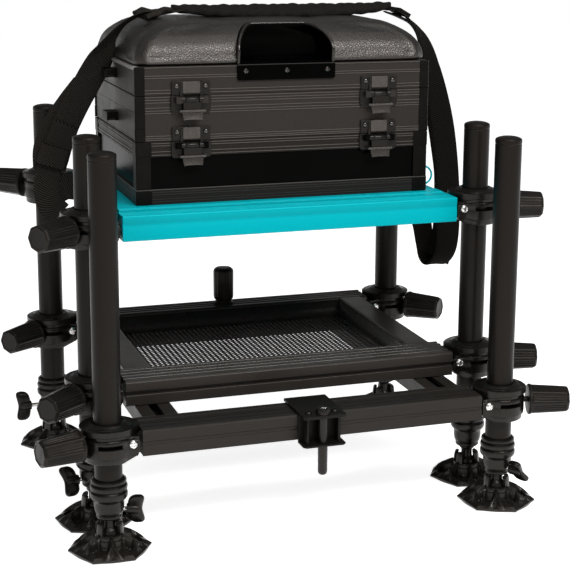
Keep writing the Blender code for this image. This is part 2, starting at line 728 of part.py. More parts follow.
def footplate():
    rail = block(
        "footplate",
        (-RAIL_REACH, FOOT_RAIL_FRONT, FOOT_RAIL_BOTTOM),
        (RAIL_REACH, FOOT_RAIL_REAR, FOOT_RAIL_TOP),
    )
    chamfer(rail, 0.0015)
    runner_high = FOOT_RAIL_TOP - SLIDE_GAP
    runner_low = runner_high - RUNNER_HEIGHT
    slot_front = TRAY_INNER_FRONT - TRAY_LIP
    solids, cutters, bores = [], [], []
    for name, side in (("left", LEFT), ("right", RIGHT)):
        centre = side * RUNNER_CENTRE
        half = RUNNER_WIDTH / 2
        solids.append(
            block(
                f"footplate_runner_{name}",
                (centre - half, FOOT_RAIL_REAR - RUNNER_HEIGHT / 2, runner_low),
                (centre + half, RUNNER_REAR, runner_high),
            )
        )
        neck = KEEL_NECK_WIDTH / 2 + SLIDE_GAP
        head = KEEL_HEAD_WIDTH / 2 + SLIDE_GAP
        neck_low = TRAY_RAIL_BOTTOM - KEEL_NECK_DROP
        cutters.append(
            block(
                f"footplate_slot_{name}",
                (centre - neck, slot_front, neck_low - KEEL_HEAD_HEIGHT / 2),
                (centre + neck, RUNNER_REAR + RUNNER_WIDTH, FOOT_RAIL_TOP + RUNNER_HEIGHT),
            )
        )
        cutters.append(
            block(
                f"footplate_channel_{name}",
                (centre - head, slot_front, neck_low - KEEL_HEAD_HEIGHT - SLIDE_GAP),
                (centre + head, RUNNER_REAR + RUNNER_WIDTH, neck_low + SLIDE_GAP),
            )
        )
    inner = RUNNER_CENTRE - RUNNER_WIDTH / 2
    solids.append(
        block(
            "footplate_cross_bar",
            (-inner - TRAY_LIP / 2, LOCK_Y - CROSS_BAR_DEPTH / 2, runner_low + TRAY_LIP / 4),
            (inner + TRAY_LIP / 2, RUNNER_REAR - TRAY_LIP / 4, runner_high - SLIDE_GAP),
        )
    )
    for leg, turn in FOOT_KNOB_TURN.items():
        x, y, side = LEGS[leg]
        ring, clamp_parts, clamp_cutters = clamp_solids(
            f"footplate_clamp_{leg}", leg, FOOT_RAIL_BOTTOM, FOOT_RAIL_TOP, turn
        )
        end = side * (RAIL_REACH - TRAY_LIP)
        tie = block(
            f"footplate_tie_{leg}",
            (min(x, end), y - FOOT_RAIL_DEPTH / 4, FOOT_RAIL_BOTTOM + TRAY_LIP),
            (max(x, end), y + FOOT_RAIL_DEPTH / 4, FOOT_RAIL_TOP - TRAY_LIP),
        )
        solids += [ring, *clamp_parts, tie]
        bores.append(clamp_cutters)
    cutters += [cutter for pair in zip(*bores) for cutter in pair]
    place(cut(add(rail, *solids), *cutters), (0, FOOT_RAIL_FRONT, FOOT_RAIL_BOTTOM), BLACK_ALLOY)


def accessory_bracket():
    """A folded bracket that clips over the front rail and holds an upright bolt in front of it."""
    half = BRACKET_WIDTH / 2
    face = FOOT_RAIL_FRONT - TOUCH_GAP
    front = face - BRACKET_OVERHANG
    top_low = FOOT_RAIL_TOP + TOUCH_GAP
    top_high = top_low + BRACKET_PLATE
    bottom_low = FOOT_RAIL_BOTTOM - BRACKET_PLATE
    top = block("accessory_bracket", (-half, front, top_low), (half, face + BRACKET_REAR_REACH, top_high))
    back = block("accessory_bracket_back", (-half, face - BRACKET_PLATE, bottom_low), (half, face, top_high))
    bottom = block(
        "accessory_bracket_bottom",
        (-half, front, bottom_low),
        (half, face, bottom_low + BRACKET_PLATE),
    )
    webs = [
        block(
            f"accessory_bracket_web_{name}",
            (at - BRACKET_PLATE / 2, front + BRACKET_WEB_INSET, bottom_low + BRACKET_PLATE / 2),
            (at + BRACKET_PLATE / 2, face, top_high - BRACKET_PLATE / 2),
        )
        for name, at in (("left", -half + BRACKET_WEB_INSET), ("right", half - BRACKET_WEB_INSET))
    ]
    bolt_end = bottom_low - BRACKET_BOLT_DROP
    head_top = top_high + BRACKET_BOLT_HEAD_HEIGHT
    round_end = BRACKET_BOLT_RADIUS / 2
    bolt = turned(
        "accessory_bracket_bolt",
        [
            (0, bolt_end),
            (BRACKET_BOLT_RADIUS - round_end, bolt_end),
            (BRACKET_BOLT_RADIUS, bolt_end + round_end),
            (BRACKET_BOLT_RADIUS, top_high - BRACKET_PLATE / 2),
            (BRACKET_BOLT_HEAD_RADIUS, top_high - BRACKET_PLATE / 2),
            (BRACKET_BOLT_HEAD_RADIUS, head_top),
            (0, head_top),
        ],
        16,
        (0, face - BRACKET_OVERHANG / 2 - BRACKET_PLATE / 2, 0),
    )
    place(add(top, back, bottom, *webs, bolt), (0, face, top_low), BLACK_ALLOY)


footplate()
accessory_bracket()


# Box stack: base, middle and lid units with latch plates and rear hinge leaves

def box_shell(name, low, high):
    return block(name, (BOX_LEFT, BOX_FRONT, low), (BOX_RIGHT, BOX_REAR, high))


def latch_plates(unit, split, upper):
    """Strike plates above a split line, or catch plates with hinge knuckles below it."""
    plates = []
    for name, side in (("left", LEFT), ("right", RIGHT)):
        centre = BOX_OFFSET_X + side * LATCH_CENTRE
        low, high = (split, split + STRIKE_HEIGHT) if upper else (split - CATCH_HEIGHT, split)
        plates.append(
            block(
                f"{unit}_{'strike' if upper else 'catch'}_{name}",
                (centre - LATCH_WIDTH / 2, BOX_FRONT - LATCH_PLATE, low),
                (centre + LATCH_WIDTH / 2, BOX_FRONT + LATCH_PLATE, high),
            )
        )
        if upper:
            continue
        for ear, ear_side in (("inner", -side), ("outer", side)):
            start = centre + ear_side * (LEVER_WIDTH / 2 + TOUCH_GAP)
            end = centre + ear_side * LATCH_WIDTH * 0.42
            axis_y, axis_z = BOX_FRONT - LATCH_AXIS_OUT, split - LATCH_AXIS_DROP
            plates.append(
                block(
                    f"{unit}_ear_{ear}_{name}",
                    (min(start, end), axis_y - LATCH_BARREL_RADIUS, axis_z - LATCH_BARREL_RADIUS),
                    (max(start, end), BOX_FRONT, axis_z + LATCH_BARREL_RADIUS),
                )
            )
    return plates


def hinge_leaves(unit, split, upper):
    """The lower unit carries one knuckle at each hinge; the upper unit carries one on either side of it."""
    leaves = []
    along = Matrix.Rotation(math.pi / 2, 4, "Y")
    half = HINGE_KNUCKLE / 2
    spans = [(-2 * half, -half - TOUCH_GAP), (half + TOUCH_GAP, 2 * half)] if upper else [(-half, half)]
    sign = 1 if upper else -1
    edge = sign * TOUCH_GAP
    leaf_end = sign * HINGE_LEAF_HEIGHT
    for name, side in (("left", LEFT), ("right", RIGHT)):
        centre = BOX_OFFSET_X + side * HINGE_CENTRE
        for number, (start, end) in enumerate(spans):
            radius = HINGE_RADIUS
            barrel = turned(
                f"{unit}_knuckle_{sign}_{name}_{number}",
                [(0, start), (radius, start), (radius, end), (0, end)],
                12,
            )
            barrel.data.transform(Matrix.Translation((centre, HINGE_Y, split)) @ along)
            leaf = block(
                f"{unit}_leaf_{sign}_{name}_{number}",
                (centre + start, BOX_REAR - HINGE_LEAF, split + min(edge, leaf_end)),
                (centre + end, BOX_REAR + HINGE_LEAF, split + max(edge, leaf_end)),
            )
            bridge = block(
                f"{unit}_bridge_{sign}_{name}_{number}",
                (centre + start, BOX_REAR, split + min(edge, sign * HINGE_RADIUS)),
                (centre + end, HINGE_Y, split + max(edge, sign * HINGE_RADIUS)),
            )
            leaves += [leaf, bridge, barrel]
    return leaves


def panel_recesses(low, high):
    """Shallow panels between the corner posts and the edge extrusions of the base box."""
    over = 2 * PANEL_RECESS
    post, rail = PANEL_POST, PANEL_RAIL
    return [
        block(
            "base_box_front_panel",
            (BOX_LEFT + post, BOX_FRONT - over, low + rail),
            (BOX_RIGHT - post, BOX_FRONT + PANEL_RECESS, high - rail),
        ),
        block(
            "base_box_rear_panel",
            (BOX_LEFT + post, BOX_REAR - PANEL_RECESS, low + rail),
            (BOX_RIGHT - post, BOX_REAR + over, high - rail),
        ),
        block(
            "base_box_left_panel",
            (BOX_LEFT - over, BOX_FRONT + post, low + rail),
            (BOX_LEFT + PANEL_RECESS, BOX_REAR - post, high - rail),
        ),
        block(
            "base_box_right_panel",
            (BOX_RIGHT - PANEL_RECESS, BOX_FRONT + post, low + rail),
            (BOX_RIGHT + over, BOX_REAR - post, high - rail),
        ),
    ]


def cavity(name, low, high):
    return block(
        name,
        (BOX_LEFT + BOX_WALL, BOX_FRONT + BOX_WALL, low),
        (BOX_RIGHT - BOX_WALL, BOX_REAR - BOX_WALL, high),
    )


def drawer_bay(name, low, high):
    return block(
        name,
        (BOX_LEFT - BOX_WALL, BOX_FRONT + BAY_FRONT_BORDER, low),
        (BOX_RIGHT - BAY_END_WALL, BOX_REAR - BAY_REAR_BORDER, high),
    )


SPLIT_LOW = BASE_TOP + TOUCH_GAP / 2
SPLIT_HIGH = MIDDLE_TOP + TOUCH_GAP / 2
LOWER_BAY = (MIDDLE_BOTTOM + BOX_FLOOR, MIDDLE_TOP - TRAY_CUT_DEPTH - BOX_FLOOR)
UPPER_BAY = (LID_BOTTOM + BOX_FLOOR, LID_TOP - BOX_FLOOR)


def base_box():
    shell = box_shell("base_box", BASE_BOTTOM, BASE_TOP)
    hollow = cavity("base_box_hollow", BASE_BOTTOM + BOX_FLOOR, BASE_TOP + BASE_HEIGHT)
    cut(chamfer(shell, 0.0012), hollow, *panel_recesses(BASE_BOTTOM, BASE_TOP))
    add(shell, *latch_plates("base_box", BASE_TOP, False), *hinge_leaves("base_box", SPLIT_LOW, False))
    place(shell, (BOX_OFFSET_X, BOX_REAR, BASE_BOTTOM), BLACK_PANEL)


def middle_box():
    shell = box_shell("middle_box", MIDDLE_BOTTOM, MIDDLE_TOP)
    hollow = cavity("middle_box_tray", MIDDLE_TOP - TRAY_CUT_DEPTH, MIDDLE_TOP + MIDDLE_HEIGHT)
    cut(chamfer(shell, 0.0012), hollow, drawer_bay("middle_box_bay", *LOWER_BAY))
    add(shell, *latch_plates("middle_box", MIDDLE_BOTTOM, True), *latch_plates("middle_box", MIDDLE_TOP, False))
    add(shell, *hinge_leaves("middle_box", SPLIT_LOW, True), *hinge_leaves("middle_box", SPLIT_HIGH, False))
    place(shell, (BOX_OFFSET_X, HINGE_Y, SPLIT_LOW), BLACK_ALLOY)


def lid_frame():
    shell = box_shell("lid_frame", LID_BOTTOM, LID_TOP)
    cut(chamfer(shell, 0.0012), drawer_bay("lid_frame_bay", *UPPER_BAY))
    add(shell, *latch_plates("lid_frame", LID_BOTTOM, True), *hinge_leaves("lid_frame", SPLIT_HIGH, True))
    place(shell, (BOX_OFFSET_X, HINGE_Y, SPLIT_HIGH), BLACK_ALLOY)


def drawer(name, bay):
    """An open tray that fills its bay, with a rectangular pull on its left end."""
    low, high = bay[0] + TOUCH_GAP, bay[1] - SLIDE_GAP
    front = BOX_FRONT + BAY_FRONT_BORDER + SLIDE_GAP
    rear = BOX_REAR - BAY_REAR_BORDER - SLIDE_GAP
    end = BOX_RIGHT - BAY_END_WALL - SLIDE_GAP
    tray = block(name, (BOX_LEFT, front, low), (end, rear, high))
    wall = DRAWER_WALL
    hollow = block(
        f"{name}_hollow",
        (BOX_LEFT + 2 * wall, front + wall, low + wall),
        (end - wall, rear - wall, high + BOX_WALL),
    )
    pull_y = (front + rear) / 2
    pull_z = (low + high) / 2
    pull = block(
        f"{name}_pull",
        (BOX_LEFT - PULL_REACH, pull_y - PULL_WIDTH / 2, pull_z - PULL_HEIGHT / 2),
        (BOX_LEFT + wall, pull_y + PULL_WIDTH / 2, pull_z + PULL_HEIGHT / 2),
    )
    place(add(cut(tray, hollow), chamfer(pull, 0.0015)), (BOX_LEFT, pull_y, low), BLACK_ALLOY)


def latch_lever(name, split, side):
    """A lever tab on a barrel that turns between the two ears of its catch plate."""
    centre = BOX_OFFSET_X + side * LATCH_CENTRE
    axis_y, axis_z = BOX_FRONT - LATCH_AXIS_OUT, split - LATCH_AXIS_DROP
    half = LEVER_WIDTH / 2
    radius = LATCH_BARREL_RADIUS
    barrel = turned(name, [(0, -half), (radius, -half), (radius, half), (0, half)], 12)
    barrel.data.transform(Matrix.Translation((centre, axis_y, axis_z)) @ Matrix.Rotation(math.pi / 2, 4, "Y"))
    foot = LEVER_FOOT_WIDTH / 2
    drop = radius + TOUCH_GAP
    outline = [(-half, 0), (half, 0), (half, -drop), (foot, -LEVER_LENGTH * 0.8)]
    outline += [(half, -LEVER_LENGTH), (-half, -LEVER_LENGTH), (-foot, -LEVER_LENGTH * 0.8), (-half, -drop)]
    stand = Matrix.Translation((centre, axis_y, axis_z)) @ Matrix.Rotation(math.pi / 2, 4, "X")
    tab = prism(f"{name}_tab", outline, 0, radius, stand)
    place(add(barrel, tab), (centre, axis_y, axis_z), BLACK_ALLOY)


base_box()
middle_box()
lid_frame()
drawer("upper_drawer", UPPER_BAY)
drawer("lower_drawer", LOWER_BAY)
for side_name, side_sign in (("left", LEFT), ("right", RIGHT)):
    latch_lever(f"upper_latch_{side_name}", MIDDLE_TOP, side_sign)
    latch_lever(f"lower_latch_{side_name}", BASE_TOP, side_sign)


# Seat cushion and hand grip

CUSHION_PROFILE = [(0.005, 0.0), (0.0, 0.22), (0.003, 0.5), (0.013, 0.74), (0.030, 0.88), (0.062, 0.965), (0.105, 1.0)]
CORNER_STEPS = 6
SIDE_STEPS = 6


def cushion_ring(inset, height):
    """A rounded rectangle pulled in between its corners."""
    half_x = BOX_WIDTH / 2 + CUSHION_OVERHANG - inset
    half_y = BOX_DEPTH / 2 + CUSHION_OVERHANG - inset
    corner = max(CUSHION_CORNER - inset * 0.3, CUSHION_CORNER * 0.4)
    ring = []
    for quarter, (sx, sy) in enumerate(((1, 1), (-1, 1), (-1, -1), (1, -1))):
        for angle in np.linspace(0, math.pi / 2, CORNER_STEPS + 1) + quarter * math.pi / 2:
            x = sx * (half_x - corner) + corner * math.cos(angle)
            y = sy * (half_y - corner) + corner * math.sin(angle)
            ring.append((x, y))
        following = ((-1, 1), (-1, -1), (1, -1), (1, 1))[quarter]
        last = ring[-1]
        along_x = sx != following[0]
        target = (following[0] * (half_x - corner), last[1]) if along_x else (last[0], following[1] * (half_y - corner))
        for step in range(1, SIDE_STEPS):
            share = step / SIDE_STEPS
            waist = CUSHION_WAIST * math.sin(math.pi * share)
            x = last[0] + (target[0] - last[0]) * share
            y = last[1] + (target[1] - last[1]) * share
            pulled = (x, y - math.copysign(waist, y)) if along_x else (x - math.copysign(waist, x), y)
            ring.append(pulled)
    middle_y = (BOX_FRONT + BOX_REAR) / 2
    return [(BOX_OFFSET_X + x, middle_y + y, height) for x, y in ring]


def cushion_form(name, grow=0.0):
    rings = [
        cushion_ring(inset - grow, CUSHION_BOTTOM + share * (CUSHION_HEIGHT + grow)) for inset, share in CUSHION_PROFILE
    ]
    centre = (BOX_OFFSET_X, (BOX_FRONT + BOX_REAR) / 2, CUSHION_BOTTOM + CUSHION_HEIGHT + grow)
    return lofted(name, [*rings, [centre]])


def arch(name, inset, start, end):
    """A round-topped tunnel along Y, standing on the lid."""
    half = GRIP_WIDTH / 2 - inset
    top = GRIP_TOP - inset
    corner = GRIP_CORNER - inset
    base = -GRIP_BAR_HEIGHT
    outline = [(-half, base), (half, base)]
    for centre, first in ((half - corner, 0.0), (corner - half, math.pi / 2)):
        for angle in np.linspace(first, first + math.pi / 2, 6):
            outline.append((centre + corner * math.cos(angle), top - corner + corner * math.sin(angle)))
    stand = Matrix.Translation((BOX_OFFSET_X, 0, CUSHION_BOTTOM)) @ Matrix.Rotation(math.pi / 2, 4, "X")
    return prism(name, outline, -start, -end, stand)


GRIP_BACK = BOX_FRONT + GRIP_DEPTH


def seat_cushion():
    before = BOX_FRONT - GRIP_DEPTH
    pocket = arch("seat_cushion_pocket", -TOUCH_GAP, before, GRIP_BACK + TOUCH_GAP)
    item = cut(cushion_form("seat_cushion"), pocket)
    place(item, (BOX_OFFSET_X, HINGE_Y, CUSHION_BOTTOM), LEATHER)


def hand_grip():
    """A moulded liner in the pocket of the cushion with a bar screwed to the front of the lid."""
    before = BOX_FRONT - GRIP_DEPTH
    liner = arch("hand_grip", 0.0, before, GRIP_BACK)
    trim = cushion_form("hand_grip_trim", GRIP_PROUD)
    inside = arch("hand_grip_inside", GRIP_SHELL, before - GRIP_SHELL, GRIP_BACK - GRIP_SHELL)
    floor_low = CUSHION_BOTTOM
    far = GRIP_WIDTH
    above = block(
        "hand_grip_above",
        (BOX_OFFSET_X - far, before - far, floor_low + GRIP_SHELL),
        (BOX_OFFSET_X + far, GRIP_BACK + far, floor_low + far),
    )
    combine(inside, "INTERSECT", [above])
    combine(liner, "INTERSECT", [trim])
    cut(liner, inside)
    half = GRIP_WIDTH / 2
    bar = block(
        "hand_grip_bar",
        (BOX_OFFSET_X - half, BOX_FRONT - TOUCH_GAP - GRIP_BAR_THICKNESS, CUSHION_BOTTOM - GRIP_BAR_HEIGHT),
        (BOX_OFFSET_X + half, BOX_FRONT - TOUCH_GAP, CUSHION_BOTTOM + GRIP_SHELL),
    )
    lip = block(
        "hand_grip_lip",
        (BOX_OFFSET_X - half, BOX_FRONT - TOUCH_GAP - GRIP_BAR_THICKNESS, CUSHION_BOTTOM),
        (BOX_OFFSET_X + half, BOX_FRONT + 2 * GRIP_BAR_THICKNESS, CUSHION_BOTTOM + GRIP_SHELL),
    )
    add(liner, chamfer(bar, 0.0012), lip)
    place(liner, (BOX_OFFSET_X, BOX_FRONT, CUSHION_BOTTOM), BLACK_PLASTIC)


seat_cushion()
hand_grip()


# Shoulder strap: webbing from the rear left clamp over the cushion, a padded sleeve, and a slack tail on the right

PAD_REST = CUSHION_BOTTOM + CUSHION_HEIGHT + TOUCH_GAP + PAD_THICKNESS / 2
# Each station: distance from the box's left or right side, depth, height above the cushion's base, width direction
STRAP_LEFT = [
    (-0.064, 0.153, -0.2379, 0.90, 0.10, 0.40),
    (-0.079, 0.150, -0.2209, 0.98, 0.00, 0.20),
    (-0.083, 0.149, -0.1959, 1.00, 0.00, 0.00),
    (-0.078, 0.149, -0.1679, 0.96, 0.00, -0.25),
    (-0.069, 0.141, -0.1379, 0.94, -0.10, -0.35),
    (-0.057, 0.123, -0.1029, 0.92, -0.20, -0.38),
    (-0.045, 0.099, -0.0679, 0.90, -0.25, -0.38),
    (-0.034, 0.075, -0.0329, 0.88, -0.10, -0.40),
    (-0.025, 0.057, -0.0029, 0.80, 0.25, -0.42),
    (-0.017, 0.047, 0.0261, 0.60, 0.65, -0.40),
    (0.005, 0.048, 0.0521, 0.30, 0.92, -0.25),
    (0.036, 0.056, 0.0621, 0.10, 0.99, -0.08),
    (0.067, 0.066, 0.0631, 0.03, 1.00, 0.00),
    (0.084, 0.071, 0.0636, 0.00, 1.00, 0.00),
]
STRAP_RIGHT = [
    (0.010, 0.068, 0.0601, 0.00, 1.00, 0.00),
    (0.032, 0.065, 0.0481, 0.20, 0.97, 0.05),
    (0.053, 0.058, 0.0221, 0.55, 0.80, 0.10),
    (0.065, 0.049, -0.0199, 0.84, 0.50, 0.15),
    (0.075, 0.042, -0.0679, 0.95, 0.25, 0.15),
    (0.083, 0.036, -0.1179, 0.96, 0.10, 0.12),
    (0.089, 0.031, -0.1779, 0.96, 0.08, 0.10),
    (0.092, 0.028, -0.2379, 0.94, 0.08, 0.06),
    (0.091, 0.028, -0.2879, 0.92, 0.10, 0.00),
    (0.087, 0.034, -0.3139, 0.92, 0.15, -0.05),
    (0.079, 0.046, -0.3269, 0.92, 0.20, -0.08),
    (0.073, 0.058, -0.3189, 0.92, 0.28, -0.04),
    (0.070, 0.066, -0.2959, 0.92, 0.34, 0.00),
    (0.068, 0.080, -0.2619, 0.94, 0.25, 0.00),
    (0.063, 0.114, -0.2279, 1.00, 0.05, 0.00),
    (0.060, 0.146, -0.2029, 1.00, 0.00, 0.00),
    (0.059, 0.158, -0.1879, 1.00, 0.00, 0.00),
]
# The padded sleeve: share of the way along it, depth, and height above its rest on the cushion
PAD_INSET_LEFT = 0.092
PAD_OVERHANG_RIGHT = 0.002
PAD_ROUTE = [
    (0.0, 0.072, 0.004),
    (0.15, 0.070, 0.002),
    (0.34, 0.068, 0.000),
    (0.53, 0.068, 0.000),
    (0.75, 0.068, 0.000),
    (0.90, 0.068, 0.002),
    (1.0, 0.068, 0.003),
]


def strap_route():
    """Places of the strap's middle, directions of its width, and whether it is inside the padded sleeve."""
    route = [((BOX_LEFT + x, y, CUSHION_BOTTOM + z), across, False) for x, y, z, *across in STRAP_LEFT]
    start, end = BOX_LEFT + PAD_INSET_LEFT, BOX_RIGHT + PAD_OVERHANG_RIGHT
    route += [((start + (end - start) * share, y, PAD_REST + rise), (0, 1, 0), True) for share, y, rise in PAD_ROUTE]
    route += [((BOX_RIGHT + x, y, CUSHION_BOTTOM + z), across, False) for x, y, z, *across in STRAP_RIGHT]
    return route


def shoulder_strap():
    route = strap_route()
    points = np.array([centre for centre, _, _ in route])
    tangents = np.gradient(points, axis=0)
    rings = []
    for (centre, across, padded), tangent in zip(route, tangents):
        along = Vector(tangent).normalized()
        side = Vector(across)
        side = (side - side.project(along)).normalized()
        normal = along.cross(side)
        width = PAD_WIDTH if padded else STRAP_WIDTH
        thickness = PAD_THICKNESS if padded else STRAP_THICKNESS
        edge = 0.72 if padded else 0.96
        corners = [(1, 0.3), (edge, 1), (-edge, 1), (-1, 0.3), (-1, -0.3), (-edge, -1), (edge, -1), (1, -0.3)]
        middle = Vector(centre)
        rings.append([middle + side * (u * width / 2) + normal * (v * thickness / 2) for u, v in corners])
    place(lofted("shoulder_strap", rings), (BOX_OFFSET_X, HINGE_Y, SPLIT_HIGH), WEBBING)


shoulder_strap()
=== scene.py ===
"""A match fishing seat box: a cushioned tackle box, a mesh tray and a footplate on six clamped legs.

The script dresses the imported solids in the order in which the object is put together.
"""

import json
import math

import bmesh
import bpy
import numpy as np
from mathutils import Matrix, Vector

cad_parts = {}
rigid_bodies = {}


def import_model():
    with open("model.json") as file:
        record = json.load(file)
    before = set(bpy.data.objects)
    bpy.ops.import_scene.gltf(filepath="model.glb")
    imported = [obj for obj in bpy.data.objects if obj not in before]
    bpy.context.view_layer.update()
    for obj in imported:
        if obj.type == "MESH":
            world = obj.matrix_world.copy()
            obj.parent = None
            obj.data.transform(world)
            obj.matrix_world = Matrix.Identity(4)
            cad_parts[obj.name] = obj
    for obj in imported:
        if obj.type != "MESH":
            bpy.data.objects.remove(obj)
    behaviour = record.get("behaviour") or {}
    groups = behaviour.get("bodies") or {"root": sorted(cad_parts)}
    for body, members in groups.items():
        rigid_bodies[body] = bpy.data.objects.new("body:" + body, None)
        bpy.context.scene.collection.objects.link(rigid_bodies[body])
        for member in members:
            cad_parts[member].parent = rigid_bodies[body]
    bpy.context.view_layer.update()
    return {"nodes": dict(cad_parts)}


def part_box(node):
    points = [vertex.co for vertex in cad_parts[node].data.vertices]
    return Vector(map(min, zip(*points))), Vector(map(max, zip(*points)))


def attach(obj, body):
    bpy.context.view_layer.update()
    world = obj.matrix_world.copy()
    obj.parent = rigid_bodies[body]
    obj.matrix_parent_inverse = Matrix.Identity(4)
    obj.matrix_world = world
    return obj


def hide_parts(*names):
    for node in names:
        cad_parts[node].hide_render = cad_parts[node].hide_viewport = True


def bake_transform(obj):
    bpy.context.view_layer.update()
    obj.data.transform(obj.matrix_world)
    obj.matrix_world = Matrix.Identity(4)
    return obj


for old in list(bpy.data.objects):
    bpy.data.objects.remove(old)
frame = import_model()

# Seat frame
# Four alloy extrusions cut square and joined in a ring under the box, with a satin turquoise coat. The top
# of each extrusion has shallow ribs that run its whole length.
seat_low, seat_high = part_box("seat_frame")
TURQUOISE = (0.0, 0.385, 0.440)
REST_GAP = 0.0003
RAIL_REACH = 0.236


def grid_skin(grid, wrap_rows=False, capped=False):
    """Quads between neighbours of a grid of closed rings: points (i, j), (i+1, j), (i+1, j+1), (i, j+1)."""
    rows, columns = grid.shape[:2]
    index = np.arange(rows * columns).reshape(rows, columns)
    ends = [index[0].tolist(), index[-1].tolist()] if capped else []
    if wrap_rows:
        index = np.vstack([index, index[:1]])
    index = np.hstack([index, index[:, :1]])
    quads = np.stack([index[:-1, :-1], index[1:, :-1], index[1:, 1:], index[:-1, 1:]], axis=-1)
    return grid.reshape(-1, 3), quads.reshape(-1, 4).tolist() + ends


def loft(rings):
    """A skin over a row of closed rings, with a flat face at both ends."""
    return grid_skin(rings, capped=True)


def gather(*shapes):
    """Several shapes as one: each shape's face numbers are shifted by the points before it."""
    offsets = np.cumsum([0] + [len(points) for points, _ in shapes])
    faces = []
    for (_, some), before in zip(shapes, offsets):
        faces += [[corner + int(before) for corner in face] for face in some]
    return np.vstack([points for points, _ in shapes]), faces


def moved(shape, matrix):
    """Every point p becomes M p, with M a 4 by 4 matrix."""
    turn = np.array(matrix)
    return shape[0] @ turn[:3, :3].T + turn[:3, 3], shape[1]


def extruded(outline, start, end, along="x"):
    """A flat outline of (u, v) carried straight from start to end along one axis, with flat ends."""
    flat = np.asarray(outline, float)
    rows = [np.column_stack([np.full(len(flat), w), flat]) for w in (start, end)]
    order = {"x": [0, 1, 2], "y": [1, 0, 2], "z": [1, 2, 0]}[along]
    return loft(np.stack(rows)[:, :, order])


def box_shape(low, high):
    """The six faces between two opposite corners."""
    outline = [(low[1], low[2]), (high[1], low[2]), (high[1], high[2]), (low[1], high[2])]
    return extruded(outline, low[0], high[0])


def skin_mesh(name, shape, weld=False):
    """A mesh of the shape with its normals out; welding joins the points that coincide."""
    mesh = bpy.data.meshes.new(name)
    mesh.from_pydata(shape[0].tolist(), [], shape[1])
    bm = bmesh.new()
    bm.from_mesh(mesh)
    if weld:
        bmesh.ops.remove_doubles(bm, verts=bm.verts, dist=1e-6)
        bmesh.ops.dissolve_degenerate(bm, edges=bm.edges, dist=1e-7)
    bmesh.ops.recalc_face_normals(bm, faces=bm.faces)
    bm.to_mesh(mesh)
    bm.free()
    return mesh


def new_item(name, mesh, finish, crease):
    """An object in the scene, smooth apart from edges sharper than the crease in degrees."""
    mesh.shade_smooth()
    mesh.set_sharp_from_angle(angle=math.radians(crease))
    mesh.materials.append(finish)
    item = bpy.data.objects.new(name, mesh)
    bpy.context.scene.collection.objects.link(item)
    return item


def piece(name, shape, finish, body, nodes=(), bevel=0.0, crease=38.0):
    """A mesh piece that rides on a body and stands for the CAD nodes named."""
    item = new_item(name, skin_mesh(name, shape, weld=True), finish, crease)
    if bevel:
        edges = item.modifiers.new("broken_edges", "BEVEL")
        edges.width = bevel
        edges.segments = 2
        edges.limit_method = "ANGLE"
        edges.angle_limit = math.radians(42)
        edges.harden_normals = True
    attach(item, body)
    if nodes:
        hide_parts(*nodes)
    return item


def new_finish(name, roughness, gloss, metallic=0.0):
    """A material with its node tree and shader; gloss is the shader's specular level, with a warm tint."""
    finish = bpy.data.materials.new(name)
    finish.use_nodes = True
    tree = finish.node_tree
    shader = tree.nodes["Principled BSDF"]
    shader.inputs["Roughness"].default_value = roughness
    shader.inputs["Metallic"].default_value = metallic
    shader.inputs["Specular IOR Level"].default_value = gloss
    shader.inputs["Specular Tint"].default_value = (1.0, 0.93, 0.87, 1.0)
    return finish, tree, shader


def noise(tree, scale, detail, stretch=(1, 1, 1)):
    """Noise on object coordinates, stretched along an axis where stretch is small."""
    place = tree.nodes.new("ShaderNodeTexCoord")
    mapping = tree.nodes.new("ShaderNodeMapping")
    mapping.inputs["Scale"].default_value = stretch
    texture = tree.nodes.new("ShaderNodeTexNoise")
    texture.inputs["Scale"].default_value = scale
    texture.inputs["Detail"].default_value = detail
    texture.inputs["Roughness"].default_value = 0.55
    tree.links.new(place.outputs["Object"], mapping.inputs["Vector"])
    tree.links.new(mapping.outputs["Vector"], texture.inputs["Vector"])
    return texture.outputs["Fac"]


def ramp(tree, value, *stops):
    """A colour ramp with stops of (position, colour)."""
    node = tree.nodes.new("ShaderNodeValToRGB")
    points = node.color_ramp.elements
    while len(points) < len(stops):
        points.new(0.5)
    for point, (position, colour) in zip(points, stops):
        point.position = position
        point.color = (*colour, 1.0)
    tree.links.new(value, node.inputs["Fac"])
    return node.outputs["Color"]


def graded(tree, shader, socket, value, *stops):
    """Drives one of the shader's inputs by a ramp of a value."""
    tree.links.new(ramp(tree, value, *stops), shader.inputs[socket])


def shaded(colour, share):
    """Each level of a colour times a share."""
    return tuple(level * share for level in colour)


def grey(level):
    """A colour with one level in all three."""
    return (level, level, level)


def bump(tree, shader, value, strength, distance, below=None):
    """Adds a bump from a value, on top of an earlier bump where one is given."""
    node = tree.nodes.new("ShaderNodeBump")
    node.inputs["Strength"].default_value = strength
    node.inputs["Distance"].default_value = distance
    tree.links.new(value, node.inputs["Height"])
    if below is not None:
        tree.links.new(below, node.inputs["Normal"])
    tree.links.new(node.outputs["Normal"], shader.inputs["Normal"])
    return node.outputs["Normal"]


def coated(name, colour, roughness, spread, grain=900.0, gloss=0.3, peel=0.30):
    """Satin coat on metal: a fine speckle of colour, uneven sheen and an orange-peel bump."""
    finish, tree, shader = new_finish(name, roughness, gloss)
    dark, pale = shaded(colour, 1 - spread), shaded(colour, 1 + spread)
    graded(tree, shader, "Base Color", noise(tree, grain * 0.8, 2.0), (0.3, dark), (0.7, pale))
    sheen = noise(tree, 22.0, 6.0)
    graded(tree, shader, "Roughness", sheen, (0.3, grey(roughness - 0.05)), (0.7, grey(roughness + 0.07)))
    bump(tree, shader, noise(tree, grain, 2.0), peel, 0.0003)
    return finish


turquoise_coat = coated("turquoise_coat", TURQUOISE, 0.30, 0.03, gloss=0.06, peel=0.05)


